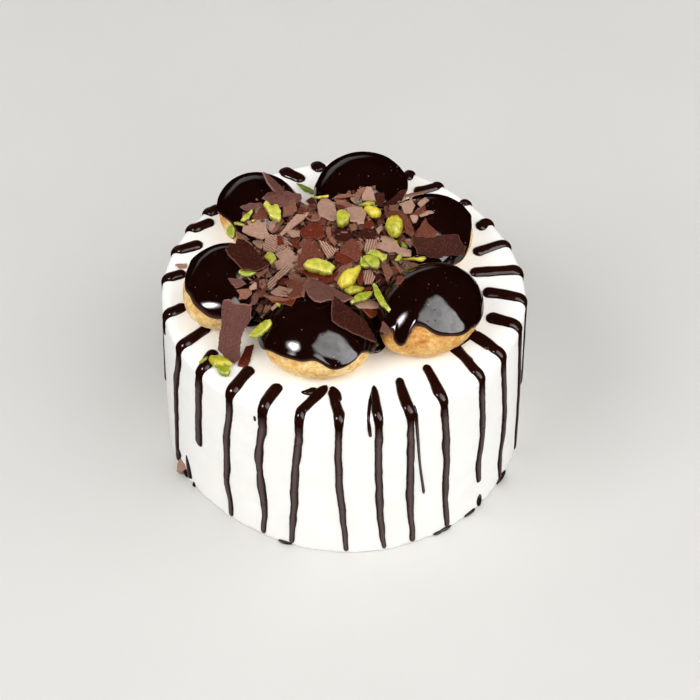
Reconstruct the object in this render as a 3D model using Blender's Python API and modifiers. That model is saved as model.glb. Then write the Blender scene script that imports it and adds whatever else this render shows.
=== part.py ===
"""A round cream cake with poured chocolate runs, six glazed profiteroles on top and a heap of
chocolate flakes and pistachios between them. Metres, +Z up, origin at the middle of the flat base."""

import math
import random
from collections import namedtuple

import bmesh
import bpy
from mathutils import Euler, Matrix, Vector

MM = 0.001

# Cream cylinder
CAKE_RADIUS = 84.2 * MM
CAKE_HEIGHT = 91.5 * MM
RIM_ROUNDING = 4.5 * MM
CREAM_COLUMNS = 64
RIM_STEPS = 3
# Waves of the hand-spread outline: order, height, direction of the crest in degrees
BASE_WAVES = ((2, 0.5 * MM, 124), (3, 0.8 * MM, 73), (4, 0.8 * MM, 2))
RIM_WAVES = ((1, 0.5 * MM, 136), (2, 0.5 * MM, 106), (3, 0.6 * MM, 94), (4, 0.5 * MM, 82))

# Chocolate runs
RUN_SINK = 0.5 * MM
RUN_STEP = 15 * MM
RUN_BEVEL_RESOLUTION = 1
RUN_WANDER_DEGREES = 0.35
RUN_SWELL = (0.92, 1.08)
RUN_TIP_SHARE = 0.6
# Along the top: share of the way to the rim, share of the full width
TOP_SWELLS = ((0.0, 0.35), (0.1, 0.85), (0.35, 1.0), (0.7, 0.95), (1.0, 0.95))
RIM_BENDS = (30, 60, 90)
THIN_RUN_SINK = 0.2 * MM
THIN_RUN_STEPS = 4
# A run's inner end stays this far from a bun's foot, which is narrower than its waist by FOOT_SHARE
RUN_CLEARANCE = 0.9 * MM
FOOT_SHARE = 0.85
START_STEP = 0.5 * MM

# Profiteroles
COLUMNS = 26
CAP_RINGS = 5
LOWER_RINGS = 3
BASE_CUT = 0.66
GLAZE_THICKNESS = 1.2 * MM
GAP = 0.3 * MM

# Heap
HEAP_CENTRE = (-4 * MM, 8 * MM)
HEAP_RADIUS = 41 * MM
HEAP_HEIGHT = 24 * MM
HEAP_CLEARANCE = 0.7 * MM
HEAP_COLUMNS = 22
HEAP_RINGS = 10
HEAP_UNEVENNESS = (0.93, 1.05)
FLAKE_COUNT = 44
NUT_COUNT = 12
NUT_RADII = (6 * MM, 3 * MM, 2.6 * MM)
NUT_LIFT = 2.2 * MM
FLAKE_THICKNESS = 1.1 * MM
FLAKE_LENGTHS = (8 * MM, 15 * MM)
FLAKE_LIFTS = (-0.5 * MM, 1.5 * MM)
FLAKE_TILT = 0.3
GOLDEN_ANGLE = math.radians(137.5)

# rim, inner, end: azimuths in degrees where the run crosses the rim, starts on top and ends on the side;
# start: radius of its inner end; foot: height of its lower end; top, side: its widths
Run = namedtuple("Run", "rim start inner end foot top side")
RUNS = [
    Run(7.1, 59, 8, 6, 10, 4.2, 3.4),
    Run(20.1, 64, 19, 21, 45, 4.0, 3.2),
    Run(31.8, 73, 31, 33, 4, 4.0, 3.4),
    Run(43.8, 78, 44, 44, 28, 3.8, 3.2),
    Run(56.4, 71, 62, 55, 1, 4.2, 3.4),
    Run(67.3, 77, 67, 68, 50, 3.8, 3.0),
    Run(78.0, 78, 78, 79, 12, 3.8, 3.2),
    Run(89.0, 78, 89, 88, 1, 4.0, 3.4),
    Run(99.0, 78, 97, 99, 38, 4.4, 3.4),
    Run(109.8, 73, 105, 111, 2, 4.6, 3.6),
    Run(121.0, 76, 120, 122, 25, 4.0, 3.2),
    Run(131.0, 76, 130, 131, 1, 4.0, 3.4),
    Run(141.9, 78, 138, 142, 30, 3.8, 3.2),
    Run(151.4, 75, 145, 152, 55, 4.2, 3.2),
    Run(162.5, 72, 157, 163, 9, 4.2, 3.4),
    Run(175.6, 74, 173, 184, 33, 4.0, 3.4),
    Run(191.7, 74, 189, 191, 76, 4.2, 3.2),
    Run(206.4, 67, 203, 199, 1, 4.2, 3.4),
    Run(218.7, 71, 215, 217.6, 35, 4.0, 3.4),
    Run(232.2, 66, 231, 230.3, 1, 4.2, 3.6),
    Run(244.3, 68, 245, 242.9, 1, 4.4, 3.6),
    Run(256.2, 63, 263, 252, 1, 3.8, 3.4),
    Run(268.4, 65, 265, 271.4, 1, 4.0, 3.2),
    Run(280.6, 64, 282, 282.8, 1, 3.6, 3.2),
    Run(291.0, 63, 293, 292.5, 1, 4.0, 3.6),
    Run(302.4, 62, 306, 305, 1, 4.2, 3.6),
    Run(317.8, 63, 322, 318, 17, 4.0, 3.4),
    Run(329.2, 66, 333, 332, 1, 4.2, 3.6),
    Run(342.5, 68, 343, 344.4, 1, 4.2, 3.6),
    Run(354.5, 64, 356, 354.7, 33, 4.0, 3.4),
]
# Thin side runs: azimuth and height of the upper end, then of the lower end, and the width
THIN_RUNS = ((281.5, 88, 278.2, 80, 1.5), (292.5, 84, 295.2, 33, 1.3))
# Small pools at the foot: azimuth, spread along the side, spread outward, height
POOLS = (
    (250.5, 3.4, 1.6, 1.6),
    (303.5, 3.6, 1.5, 1.6),
    (331.5, 2.8, 1.8, 2.4),
    (318.4, 1.6, 1.2, 8.0),
    (206.0, 2.2, 1.6, 7.0),
)
POOL_RISE = 0.1 * MM
POOL_SINK = 0.2 * MM

# x, y: middle of the foot; long, short: radii at the waist; turn: azimuth of the long radius in degrees;
# column: azimuth of one mesh column, set on the glaze's longest drip;
# border: (azimuth, angle from the top) of the glaze's edge in degrees
Bun = namedtuple("Bun", "x y long short turn waist height lean_x lean_y column border")
BUNS = {
    "front": Bun(-11.7, -39.8, 25.8, 24.2, 0, 9.5, 25.5, 0, 0, 270, (
        (20, 84), (60, 70), (110, 66), (150, 76), (190, 94), (213, 81), (231, 72), (250, 69), (268, 68),
        (281, 79), (295, 81), (316, 75), (327, 77), (341, 96), (352, 92))),
    "right": Bun(38.6, -28.6, 24.3, 20.8, 35, 12.0, 31.0, 2, 1, 234, (
        (10, 94), (50, 84), (90, 80), (130, 66), (180, 64), (205, 72), (221, 84), (234, 96), (246, 66),
        (258, 58), (274, 69), (288, 80), (310, 83), (346, 93))),
    "right_back": Bun(39.0, 22.8, 22.3, 20.3, 46, 9.0, 25.0, 0, 0, 317, (
        (0, 68), (40, 84), (80, 78), (110, 60), (160, 58), (220, 66), (270, 70), (300, 86), (317, 97),
        (340, 73))),
    "back": Bun(8.4, 51.6, 22.0, 20.6, 46, 9.5, 25.0, 0, 0, 96, (
        (0, 74), (40, 88), (66, 80), (96, 98), (130, 84), (170, 90), (215, 74), (270, 66), (315, 57))),
    "left_back": Bun(-38.8, 38.7, 21.5, 18.8, 118, 8.5, 24.5, -1, 0, 150, (
        (10, 78), (60, 84), (100, 92), (150, 84), (190, 72), (211, 60), (240, 58), (300, 66))),
    "left": Bun(-54.5, -12.9, 20.3, 19.5, 90, 12.0, 33.0, 0, 0, 250, (
        (0, 66), (50, 70), (100, 78), (140, 68), (180, 56), (203, 59), (232, 70), (254, 75), (270, 82),
        (315, 72))),
}

# Plates of chocolate: the middle and its height over the cream, length and width, then the turn,
# pitch and roll in degrees and the number of corners
Slab = namedtuple("Slab", "x y z length width turn pitch roll corners")
# Those that lean on a bun or lie on its glaze
SLABS = {
    "shard_left_front": Slab(-50.2, -41.4, 14.8, 26, 12, 74, 47, 0, 4),
    "shard_front": Slab(3.2, -44.9, 25.2, 25, 11, -44, -21, -9, 5),
    "shard_right_back": Slab(43.4, 5.2, 20.9, 23, 9, 8, -9, 39, 5),
    "shard_upright": Slab(-33.9, 43.3, 28.9, 12, 5, 157, 47, 50, 3),
    "shard_left": Slab(-44.0, -12.4, 32.9, 21, 13, -36, -18, -17, 5),
    "shard_middle": Slab(-8.0, -30.0, 26.8, 23, 12, -18, 0, -16, 5),
}
# Small flakes fused to a glaze: azimuth and angle from the top on the bun, length, width, turn
GLAZE_FLAKES = {
    "front": (),
    "right": ((159, 38, 7, 5, 20),),
    "right_back": ((-97, 26, 11, 8, 60), (159, 25, 9, 6, 20), (119, 16, 6, 4, 40), (-60, 8, 7, 4, 0)),
    "back": ((-78, 30, 8, 7, 90),),
    "left_back": ((-17, 32, 15, 7, 0), (-112, 31, 9, 5, -10)),
    "left": ((-63, 42, 8, 5, -20),),
}
GLAZE_FLAKE_SINK = 0.3 * MM
# Those that lie on the cream
CREAM_SLABS = (
    Slab(-44.6, -46.6, 0.8, 9, 6, 75, 8, 0, 4),
    Slab(-75.6, 12.6, 0.6, 5, 3, 20, 0, 0, 4),
)
# The one that leans on the cream's side at the foot: azimuth, height of its middle, length and width
FOOT_SHARD = (199, 6.6, 11, 6)
FOOT_SHARD_LEAN = 80
FOOT_SHARD_LIFT = 0.4 * MM
# Pistachios on the cream: middle and turn in degrees
CREAM_NUTS = ((-58.0, -50.2, 5), (-54.6, -55.2, -20), (-63.0, -48.4, 40))
CREAM_NUT_SINK_SHARE = 0.7
BLOB_COLUMNS = 8
BLOB_RINGS = 5
NUT_COLUMNS = 6
NUT_RINGS = 4
WELD_DISTANCE = 0.01 * MM
SHARP_DEGREES = {"cream": 35, "choux": 40, "glaze": 50, "heap": 25}


def radians_of(*degrees):
    return tuple(math.radians(value) for value in degrees)


def wave_sum(waves, azimuth):
    return sum(height * math.cos(order * (azimuth - math.radians(crest))) for order, height, crest in waves)


def cake_radius(azimuth, z):
    """Radius of the cream's side at this azimuth and height."""
    up = z / CAKE_HEIGHT
    return CAKE_RADIUS + (1 - up) * wave_sum(BASE_WAVES, azimuth) + up * wave_sum(RIM_WAVES, azimuth)


def between(first, second, share):
    return first + (second - first) * share


def border_angle(bun, azimuth):
    """Angle from the top down to the glaze's edge, eased between the listed azimuths."""
    degrees = math.degrees(azimuth) % 360
    rows = [(at + lap, angle) for lap in (-360, 0, 360) for at, angle in bun.border]
    for (low, first), (high, second) in zip(rows, rows[1:]):
        if low <= degrees < high:
            share = (degrees - low) / (high - low)
            eased = share * share * (3 - 2 * share)
            return math.radians(between(first, second, eased))
    raise ValueError("azimuth outside the border's rows")


def bun_point(bun, azimuth, polar, skin=0.0):
    """Point of the bun's surface at this azimuth and angle from the top, moved outward by skin."""
    local = azimuth - math.radians(bun.turn)
    upward = math.cos(polar)
    rise = (bun.height - bun.waist if upward > 0 else bun.waist / BASE_CUT) * MM + skin
    along = (bun.long * MM + skin) * math.sin(polar) * math.cos(local)
    aside = (bun.short * MM + skin) * math.sin(polar) * math.sin(local)
    z = max(bun.waist * MM + rise * upward, 0.0)
    share = z / (bun.height * MM)
    turn = Matrix.Rotation(math.radians(bun.turn), 3, "Z")
    place = Vector(((bun.x + bun.lean_x * share) * MM, (bun.y + bun.lean_y * share) * MM, CAKE_HEIGHT + GAP))
    return place + turn @ Vector((along, aside, z))


def bun_reach(bun, azimuth):
    """Radius of the bun's waist in this direction."""
    local = azimuth - math.radians(bun.turn)
    return MM / math.hypot(math.cos(local) / bun.long, math.sin(local) / bun.short)


def clear_scene():
    for item in list(bpy.data.objects):
        bpy.data.objects.remove(item, do_unlink=True)


def make_collection(name):
    collection = bpy.data.collections.new(name)
    bpy.context.scene.collection.children.link(collection)
    return collection


def make_material(name, colour, roughness, metallic=0.0):
    material = bpy.data.materials.new(name)
    material.use_nodes = True
    shader = material.node_tree.nodes["Principled BSDF"]
    shader.inputs["Base Color"].default_value = (*colour, 1.0)
    shader.inputs["Roughness"].default_value = roughness
    shader.inputs["Metallic"].default_value = metallic
    return material


def object_from_bmesh(name, mesh_data, collection, material=None, sharp_angle=None):
    bmesh.ops.recalc_face_normals(mesh_data, faces=mesh_data.faces)
    mesh = bpy.data.meshes.new(name)
    mesh_data.to_mesh(mesh)
    mesh_data.free()
    if sharp_angle is not None:
        mesh.shade_smooth()
        mesh.set_sharp_from_angle(angle=math.radians(sharp_angle))
    if material is not None:
        mesh.materials.append(material)
    made = bpy.data.objects.new(name, mesh)
    collection.objects.link(made)
    return made


def islands_of(mesh_data):
    """Groups of faces that hang together."""
    left = set(mesh_data.faces)
    found = []
    while left:
        seed = left.pop()
        group = {seed}
        edge_front = [seed]
        while edge_front:
            face = edge_front.pop()
            for edge in face.edges:
                for other in edge.link_faces:
                    if other in left:
                        left.remove(other)
                        group.add(other)
                        edge_front.append(other)
        found.append(group)
    return found


def apply_booleans(item, sharp_angle):
    """Puts the modifiers' result in the object's mesh and keeps its largest body alone."""
    bpy.context.view_layer.update()
    graph = bpy.context.evaluated_depsgraph_get()
    fused = bpy.data.meshes.new_from_object(item.evaluated_get(graph))
    item.modifiers.clear()
    mesh_data = bmesh.new()
    mesh_data.from_mesh(fused)
    bodies = sorted(islands_of(mesh_data), key=len)
    scraps = [face for body in bodies[:-1] for face in body]
    bmesh.ops.delete(mesh_data, geom=scraps, context="FACES")
    loose = [vertex for vertex in mesh_data.verts if not vertex.link_faces]
    bmesh.ops.delete(mesh_data, geom=loose, context="VERTS")
    material = item.data.materials[0]
    mesh_data.to_mesh(fused)
    mesh_data.free()
    fused.materials.clear()
    fused.materials.append(material)
    fused.shade_smooth()
    fused.set_sharp_from_angle(angle=math.radians(sharp_angle))
    item.data = fused


def remove_collection(collection):
    for item in list(collection.objects):
        bpy.data.objects.remove(item, do_unlink=True)
    bpy.data.collections.remove(collection)


def boolean(item, operation, collection):
    modifier = item.modifiers.new(operation.lower(), "BOOLEAN")
    modifier.operation = operation
    modifier.operand_type = "COLLECTION"
    modifier.collection = collection
    modifier.solver = "EXACT"


def tube(name, points, radii, collection):
    """A closed tube through the points, made from a bevelled curve."""
    curve = bpy.data.curves.new(name, "CURVE")
    curve.dimensions = "3D"
    curve.bevel_depth = MM
    curve.bevel_resolution = RUN_BEVEL_RESOLUTION
    curve.use_fill_caps = True
    spline = curve.splines.new("POLY")
    spline.points.add(len(points) - 1)
    for point, place, radius in zip(spline.points, points, radii):
        point.co = (*place, 1.0)
        point.radius = radius / MM
    guide = bpy.data.objects.new(name + "_curve", curve)
    collection.objects.link(guide)
    bpy.context.view_layer.update()
    graph = bpy.context.evaluated_depsgraph_get()
    mesh = bpy.data.meshes.new_from_object(guide.evaluated_get(graph))
    mesh_data = bmesh.new()
    mesh_data.from_mesh(mesh)
    bmesh.ops.remove_doubles(mesh_data, verts=mesh_data.verts, dist=WELD_DISTANCE)
    made = object_from_bmesh(name, mesh_data, collection)
    made.matrix_world = guide.matrix_world
    bpy.data.objects.remove(guide, do_unlink=True)
    return made


def side_point(azimuth, z, sink):
    radius = cake_radius(azimuth, z) - sink
    return Vector((radius * math.cos(azimuth), radius * math.sin(azimuth), z))


def clear_start(run):
    """Radius of the run's inner end, moved outward until it is clear of every bun."""
    start = run.start * MM
    azimuth = math.radians(run.inner)
    room = run.top * MM / 2 + RUN_CLEARANCE
    while any(start_inside(bun, start, azimuth, room) for bun in BUNS.values()):
        start += START_STEP
    return start


def start_inside(bun, start, azimuth, room):
    away = Vector((start * math.cos(azimuth) - bun.x * MM, start * math.sin(azimuth) - bun.y * MM))
    return away.length < FOOT_SHARE * bun_reach(bun, math.atan2(away.y, away.x)) + room


def run_path(run, rng):
    """Points and radii of a run: outward on the top, over the rim and down the side."""
    rim, inner, end = radians_of(run.rim, run.inner, run.end)
    top_radius, side_radius = run.top * MM / 2, run.side * MM / 2
    start = clear_start(run)
    shoulder = cake_radius(rim, CAKE_HEIGHT) - RIM_ROUNDING
    level = CAKE_HEIGHT - RUN_SINK
    first = Vector((start * math.cos(inner), start * math.sin(inner), level))
    last = Vector((shoulder * math.cos(rim), shoulder * math.sin(rim), level))
    points, radii = [], []
    for share, swell in TOP_SWELLS:
        points.append(first.lerp(last, share))
        radii.append(top_radius * swell)
    for bend in radians_of(*RIM_BENDS):
        out = shoulder + (RIM_ROUNDING - RUN_SINK) * math.sin(bend)
        z = CAKE_HEIGHT - RIM_ROUNDING + (RIM_ROUNDING - RUN_SINK) * math.cos(bend)
        points.append(Vector((out * math.cos(rim), out * math.sin(rim), z)))
        radii.append(between(top_radius, side_radius, bend / math.pi * 2))
    upper = CAKE_HEIGHT - RIM_ROUNDING
    fall = upper - run.foot * MM
    steps = max(2, round(fall / RUN_STEP))
    for step in range(1, steps + 1):
        share = step / steps
        wander = math.radians(rng.uniform(-1, 1) * RUN_WANDER_DEGREES) * (step < steps)
        points.append(side_point(between(rim, end, share) + wander, upper - fall * share, RUN_SINK))
        radii.append(side_radius * (rng.uniform(*RUN_SWELL) if step < steps else RUN_TIP_SHARE))
    return points, radii


def make_runs(collection):
    rng = random.Random(11)
    for number, run in enumerate(RUNS):
        points, radii = run_path(run, rng)
        tube(f"run_{number:02d}", points, radii, collection)
    for number, (upper, high, lower, low, width) in enumerate(THIN_RUNS):
        points = []
        for step in range(THIN_RUN_STEPS + 1):
            share = step / THIN_RUN_STEPS
            azimuth = math.radians(between(upper, lower, share))
            points.append(side_point(azimuth, between(high, low, share) * MM, THIN_RUN_SINK))
        radii = [width * MM / 2] * THIN_RUN_STEPS + [width * MM / 4]
        tube(f"thin_run_{number}", points, radii, collection)


def blob(name, centre, radii, turn, collection, columns, rings):
    mesh_data = bmesh.new()
    bmesh.ops.create_uvsphere(mesh_data, u_segments=columns, v_segments=rings, radius=1.0)
    matrix = Matrix.Translation(centre) @ turn.to_matrix().to_4x4() @ Matrix.Diagonal((*radii, 1.0))
    bmesh.ops.transform(mesh_data, matrix=matrix, verts=mesh_data.verts)
    return object_from_bmesh(name, mesh_data, collection)


def make_pools(collection):
    for number, (azimuth, along, out, height) in enumerate(POOLS):
        direction = math.radians(azimuth)
        half_height = height * MM / 2
        centre = side_point(direction, half_height + POOL_RISE, POOL_SINK)
        size = (out * MM, along * MM, half_height)
        turn = Euler((0, 0, direction))
        blob(f"pool_{number}", centre, size, turn, collection, BLOB_COLUMNS, BLOB_RINGS)


def flake(name, length, width, matrix, corners, rng, collection, material=None):
    """A broken plate of chocolate: a blunt polygon with uneven corners, extruded."""
    mesh_data = bmesh.new()
    bmesh.ops.create_circle(mesh_data, cap_ends=True, segments=corners, radius=1.0)
    for number, vertex in enumerate(mesh_data.verts):
        angle = (number + 0.5 + rng.uniform(-0.2, 0.2)) / corners * math.tau
        blunt = 0.5 * rng.uniform(0.85, 1.05) / max(abs(math.cos(angle)), abs(math.sin(angle))) ** 0.8
        vertex.co = (blunt * math.cos(angle), blunt * math.sin(angle), 0)
    made = bmesh.ops.extrude_face_region(mesh_data, geom=list(mesh_data.faces))
    raised = [item for item in made["geom"] if isinstance(item, bmesh.types.BMVert)]
    bmesh.ops.translate(mesh_data, verts=raised, vec=(0, 0, 1))
    size = Matrix.Diagonal((length, width, FLAKE_THICKNESS, 1.0))
    centring = Matrix.Translation((0, 0, -0.5))
    bmesh.ops.transform(mesh_data, matrix=matrix @ size @ centring, verts=mesh_data.verts)
    return object_from_bmesh(name, mesh_data, collection, material)


def slab_matrix(slab):
    turn, pitch, roll = radians_of(slab.turn, slab.pitch, slab.roll)
    place = Matrix.Translation((slab.x * MM, slab.y * MM, CAKE_HEIGHT + slab.z * MM))
    return place @ Euler((roll, -pitch, turn)).to_matrix().to_4x4()


def make_small_toppings(collection):
    """Shards and pistachios that lie on the cream or lean on its side."""
    rng = random.Random(5)
    for number, slab in enumerate(CREAM_SLABS):
        size = (slab.length * MM, slab.width * MM)
        flake(f"cream_shard_{number}", *size, slab_matrix(slab), slab.corners, rng, collection)
    for number, (x, y, turn) in enumerate(CREAM_NUTS):
        centre = Vector((x * MM, y * MM, CAKE_HEIGHT + NUT_RADII[2] * CREAM_NUT_SINK_SHARE))
        spin = Euler((0, 0, math.radians(turn)))
        blob(f"cream_nut_{number}", centre, NUT_RADII, spin, collection, NUT_COLUMNS, NUT_RINGS)
    azimuth, height, length, width = FOOT_SHARD
    direction = math.radians(azimuth)
    lean = Euler((0, math.radians(FOOT_SHARD_LEAN), direction)).to_matrix().to_4x4()
    place = Matrix.Translation(side_point(direction, height * MM, -FOOT_SHARD_LIFT)) @ lean
    flake("foot_shard", length * MM, width * MM, place, 4, rng, collection)


def make_cake_body(collection, material):
    """The cream cylinder with its rounded rim, its chocolate runs, their pools and what lies on it."""
    mesh_data = bmesh.new()
    bmesh.ops.create_cone(
        mesh_data, cap_ends=True, segments=CREAM_COLUMNS, radius1=1.0, radius2=1.0, depth=1.0)
    for vertex in mesh_data.verts:
        azimuth = math.atan2(vertex.co.y, vertex.co.x)
        z = (vertex.co.z + 0.5) * CAKE_HEIGHT
        radius = cake_radius(azimuth, z)
        vertex.co = (radius * math.cos(azimuth), radius * math.sin(azimuth), z)
    rim = [edge for edge in mesh_data.edges if all(v.co.z > CAKE_HEIGHT / 2 for v in edge.verts)]
    bmesh.ops.bevel(
        mesh_data, geom=rim, offset=RIM_ROUNDING, segments=RIM_STEPS, profile=0.5, affect="EDGES")
    body = object_from_bmesh("cake_body", mesh_data, collection, material)
    fused = make_collection("on_the_cream")
    make_runs(fused)
    make_pools(fused)
    make_small_toppings(fused)
    boolean(body, "UNION", fused)
    apply_booleans(body, SHARP_DEGREES["cream"])
    remove_collection(fused)


def sphere_place(vertex, columns, rings):
    """Column and ring numbers of a vertex of a unit sphere, the rings counted from its top."""
    column = round(math.atan2(vertex.co.y, vertex.co.x) / math.tau * columns) % columns
    ring = round(math.acos(max(-1.0, min(1.0, vertex.co.z))) / math.pi * rings)
    return column, ring


def shaped_sphere(bun, skin, below):
    """A sphere drawn over the bun: CAP_RINGS rings down to the glaze's edge, then on to the foot if below."""
    rings = CAP_RINGS + LOWER_RINGS + 1
    foot = math.acos(-BASE_CUT)
    mesh_data = bmesh.new()
    bmesh.ops.create_uvsphere(mesh_data, u_segments=COLUMNS, v_segments=rings, radius=1.0)
    hidden = []
    for vertex in mesh_data.verts:
        column, ring = sphere_place(vertex, COLUMNS, rings)
        azimuth = math.radians(bun.column) + column / COLUMNS * math.tau
        edge = border_angle(bun, azimuth)
        if ring > CAP_RINGS:
            hidden.append(vertex)
            share = (ring - CAP_RINGS) / LOWER_RINGS
            polar = between(edge, foot, min(share, 1.0))
        else:
            polar = edge * ring / CAP_RINGS
        if ring == rings:
            vertex.co = Vector((bun.x * MM, bun.y * MM, CAKE_HEIGHT + GAP))
        else:
            vertex.co = bun_point(bun, azimuth, polar, skin)
    if not below:
        bmesh.ops.delete(mesh_data, geom=hidden, context="VERTS")
    return mesh_data


def glaze_matrix(bun, azimuth, polar, turn):
    """Place on the glaze with its third axis along the outward normal."""
    azimuth, polar, turn = radians_of(azimuth, polar, turn)
    step = math.radians(2)
    skin = GAP + GLAZE_THICKNESS
    down = bun_point(bun, azimuth, polar + step, skin) - bun_point(bun, azimuth, polar - step, skin)
    aside = bun_point(bun, azimuth + step, polar, skin) - bun_point(bun, azimuth - step, polar, skin)
    outward = down.cross(aside).normalized()
    basis = Matrix((down.normalized(), outward.cross(down).normalized(), outward)).transposed()
    place = bun_point(bun, azimuth, polar, skin) + outward * (FLAKE_THICKNESS / 2 - GLAZE_FLAKE_SINK)
    return Matrix.Translation(place) @ basis.to_4x4() @ Matrix.Rotation(turn, 4, "Z")


def make_profiterole(name, bun, collection, crust, chocolate):
    """One choux bun and the glaze over it, with the flakes that lie there."""
    whole = shaped_sphere(bun, 0.0, True)
    object_from_bmesh(f"choux_{name}", whole, collection, crust, SHARP_DEGREES["choux"])
    cap = shaped_sphere(bun, GAP, False)
    glaze = object_from_bmesh(f"glaze_{name}", cap, collection, chocolate, SHARP_DEGREES["glaze"])
    shell = glaze.modifiers.new("skin", "SOLIDIFY")
    shell.thickness = GLAZE_THICKNESS
    shell.offset = 1.0
    shell.use_even_offset = True
    if GLAZE_FLAKES[name]:
        rng = random.Random(13)
        fused = make_collection("on_the_glaze")
        for number, (azimuth, polar, length, width, turn) in enumerate(GLAZE_FLAKES[name]):
            matrix = glaze_matrix(bun, azimuth, polar, turn)
            flake(f"glaze_flake_{number}", length * MM, width * MM, matrix, 4, rng, fused)
        boolean(glaze, "UNION", fused)
        apply_booleans(glaze, SHARP_DEGREES["glaze"])
        remove_collection(fused)


def heap_height(x, y):
    """Height of the heap's core over the cream, at a place measured from the heap's middle."""
    away = math.hypot(x, y) / HEAP_RADIUS
    return HEAP_HEIGHT * math.sqrt(max(0.0, 1 - away * away))


def make_heap_core(collection, material):
    mesh_data = bmesh.new()
    bmesh.ops.create_uvsphere(mesh_data, u_segments=HEAP_COLUMNS, v_segments=HEAP_RINGS, radius=1.0)
    rng = random.Random(3)
    for vertex in mesh_data.verts:
        bump = rng.uniform(*HEAP_UNEVENNESS)
        x = HEAP_CENTRE[0] + vertex.co.x * HEAP_RADIUS * bump
        y = HEAP_CENTRE[1] + vertex.co.y * HEAP_RADIUS * bump
        vertex.co = (x, y, CAKE_HEIGHT + vertex.co.z * HEAP_HEIGHT * bump)
    return object_from_bmesh("flake_heap", mesh_data, collection, material)


def spiral_place(number, count, reach, start, lift):
    """Place number of count on a spiral that fills the heap's core evenly out to reach, lifted off it."""
    away = HEAP_RADIUS * reach * math.sqrt((number + 0.5) / count)
    direction = number * GOLDEN_ANGLE + start
    x, y = away * math.cos(direction), away * math.sin(direction)
    place = Vector((HEAP_CENTRE[0] + x, HEAP_CENTRE[1] + y, CAKE_HEIGHT + heap_height(x, y) + lift))
    return place, direction, away / HEAP_RADIUS


def make_heap_pieces(collection):
    """Flakes spread over the core along a spiral, and pistachios between them."""
    rng = random.Random(21)
    for number in range(FLAKE_COUNT):
        lift = rng.uniform(*FLAKE_LIFTS)
        place, direction, share = spiral_place(number, FLAKE_COUNT, 0.9, 0.0, lift)
        tilts = (rng.gauss(0, FLAKE_TILT), rng.gauss(share / 2, FLAKE_TILT))
        lean = Euler((*tilts, direction)).to_matrix()
        turn = lean @ Matrix.Rotation(rng.uniform(0, math.pi), 3, "Z")
        length = rng.uniform(*FLAKE_LENGTHS)
        width = length * rng.uniform(0.5, 0.8)
        matrix = Matrix.Translation(place) @ turn.to_4x4()
        flake(f"flake_{number:02d}", length, width, matrix, rng.choice((4, 5, 6)), rng, collection)
    for number in range(NUT_COUNT):
        place = spiral_place(number, NUT_COUNT, 0.8, 1.0, NUT_LIFT)[0]
        turn = Euler((rng.uniform(-0.4, 0.4), rng.uniform(-0.4, 0.4), rng.uniform(0, math.pi)))
        blob(f"nut_{number:02d}", place, NUT_RADII, turn, collection, NUT_COLUMNS, NUT_RINGS)


def mark_as_cutter(item):
    item.hide_render = True
    item.display_type = "WIRE"


def make_clearance_shapes(collection):
    """Each bun with its glaze and a little room around it, and the slab of space under the heap."""
    room = GAP + GLAZE_THICKNESS + HEAP_CLEARANCE
    for name, bun in BUNS.items():
        full = bun._replace(border=((0, 100), (180, 100)))
        made = object_from_bmesh(f"room_{name}", shaped_sphere(full, room, True), collection)
        mark_as_cutter(made)
    mesh_data = bmesh.new()
    bmesh.ops.create_cube(mesh_data, size=1.0)
    width, depth = 3 * HEAP_RADIUS, 2 * HEAP_HEIGHT
    middle = Matrix.Translation((0, 0, CAKE_HEIGHT + GAP - depth / 2))
    matrix = middle @ Matrix.Diagonal((width, width, depth, 1.0))
    bmesh.ops.transform(mesh_data, matrix=matrix, verts=mesh_data.verts)
    mark_as_cutter(object_from_bmesh("room_below", mesh_data, collection))


def make_heap(collection, material):
    heap = make_heap_core(collection, material)
    pieces = make_collection("heap_pieces")
    cutters = make_collection("cutters")
    make_heap_pieces(pieces)
    make_clearance_shapes(cutters)
    boolean(heap, "UNION", pieces)
    boolean(heap, "DIFFERENCE", cutters)
    apply_booleans(heap, SHARP_DEGREES["heap"])
    remove_collection(pieces)
    remove_collection(cutters)


def make_slabs(collection, material):
    rng = random.Random(8)
    for name, slab in SLABS.items():
        size = (slab.length * MM, slab.width * MM)
        flake(name, *size, slab_matrix(slab), slab.corners, rng, collection, material)


def main():
    clear_scene()
    cake = make_collection("profiterole_cake")
    cream = make_material("cream", (0.86, 0.83, 0.77), 0.45)
    crust = make_material("choux", (0.62, 0.33, 0.11), 0.6)
    chocolate = make_material("dark_glaze", (0.012, 0.005, 0.004), 0.12)
    flakes = make_material("flakes", (0.13, 0.055, 0.04), 0.55)
    make_cake_body(cake, cream)
    for name, bun in BUNS.items():
        make_profiterole(name, bun, cake, crust, chocolate)
    make_heap(cake, flakes)
    make_slabs(cake, flakes)


main()
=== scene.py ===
"""Looks of the profiterole cake: cream with poured chocolate runs, six glazed choux buns, and a heap
of chocolate flakes and pistachios. Lengths are in millimetres and angles in degrees, +Z is up and the
origin is the middle of the flat base. Places marked "seen" are pixels of the 700 by 700 view."""

import math
import random
from collections import namedtuple

import bpy
import numpy as np
from mathutils import Matrix, Vector, noise


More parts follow.
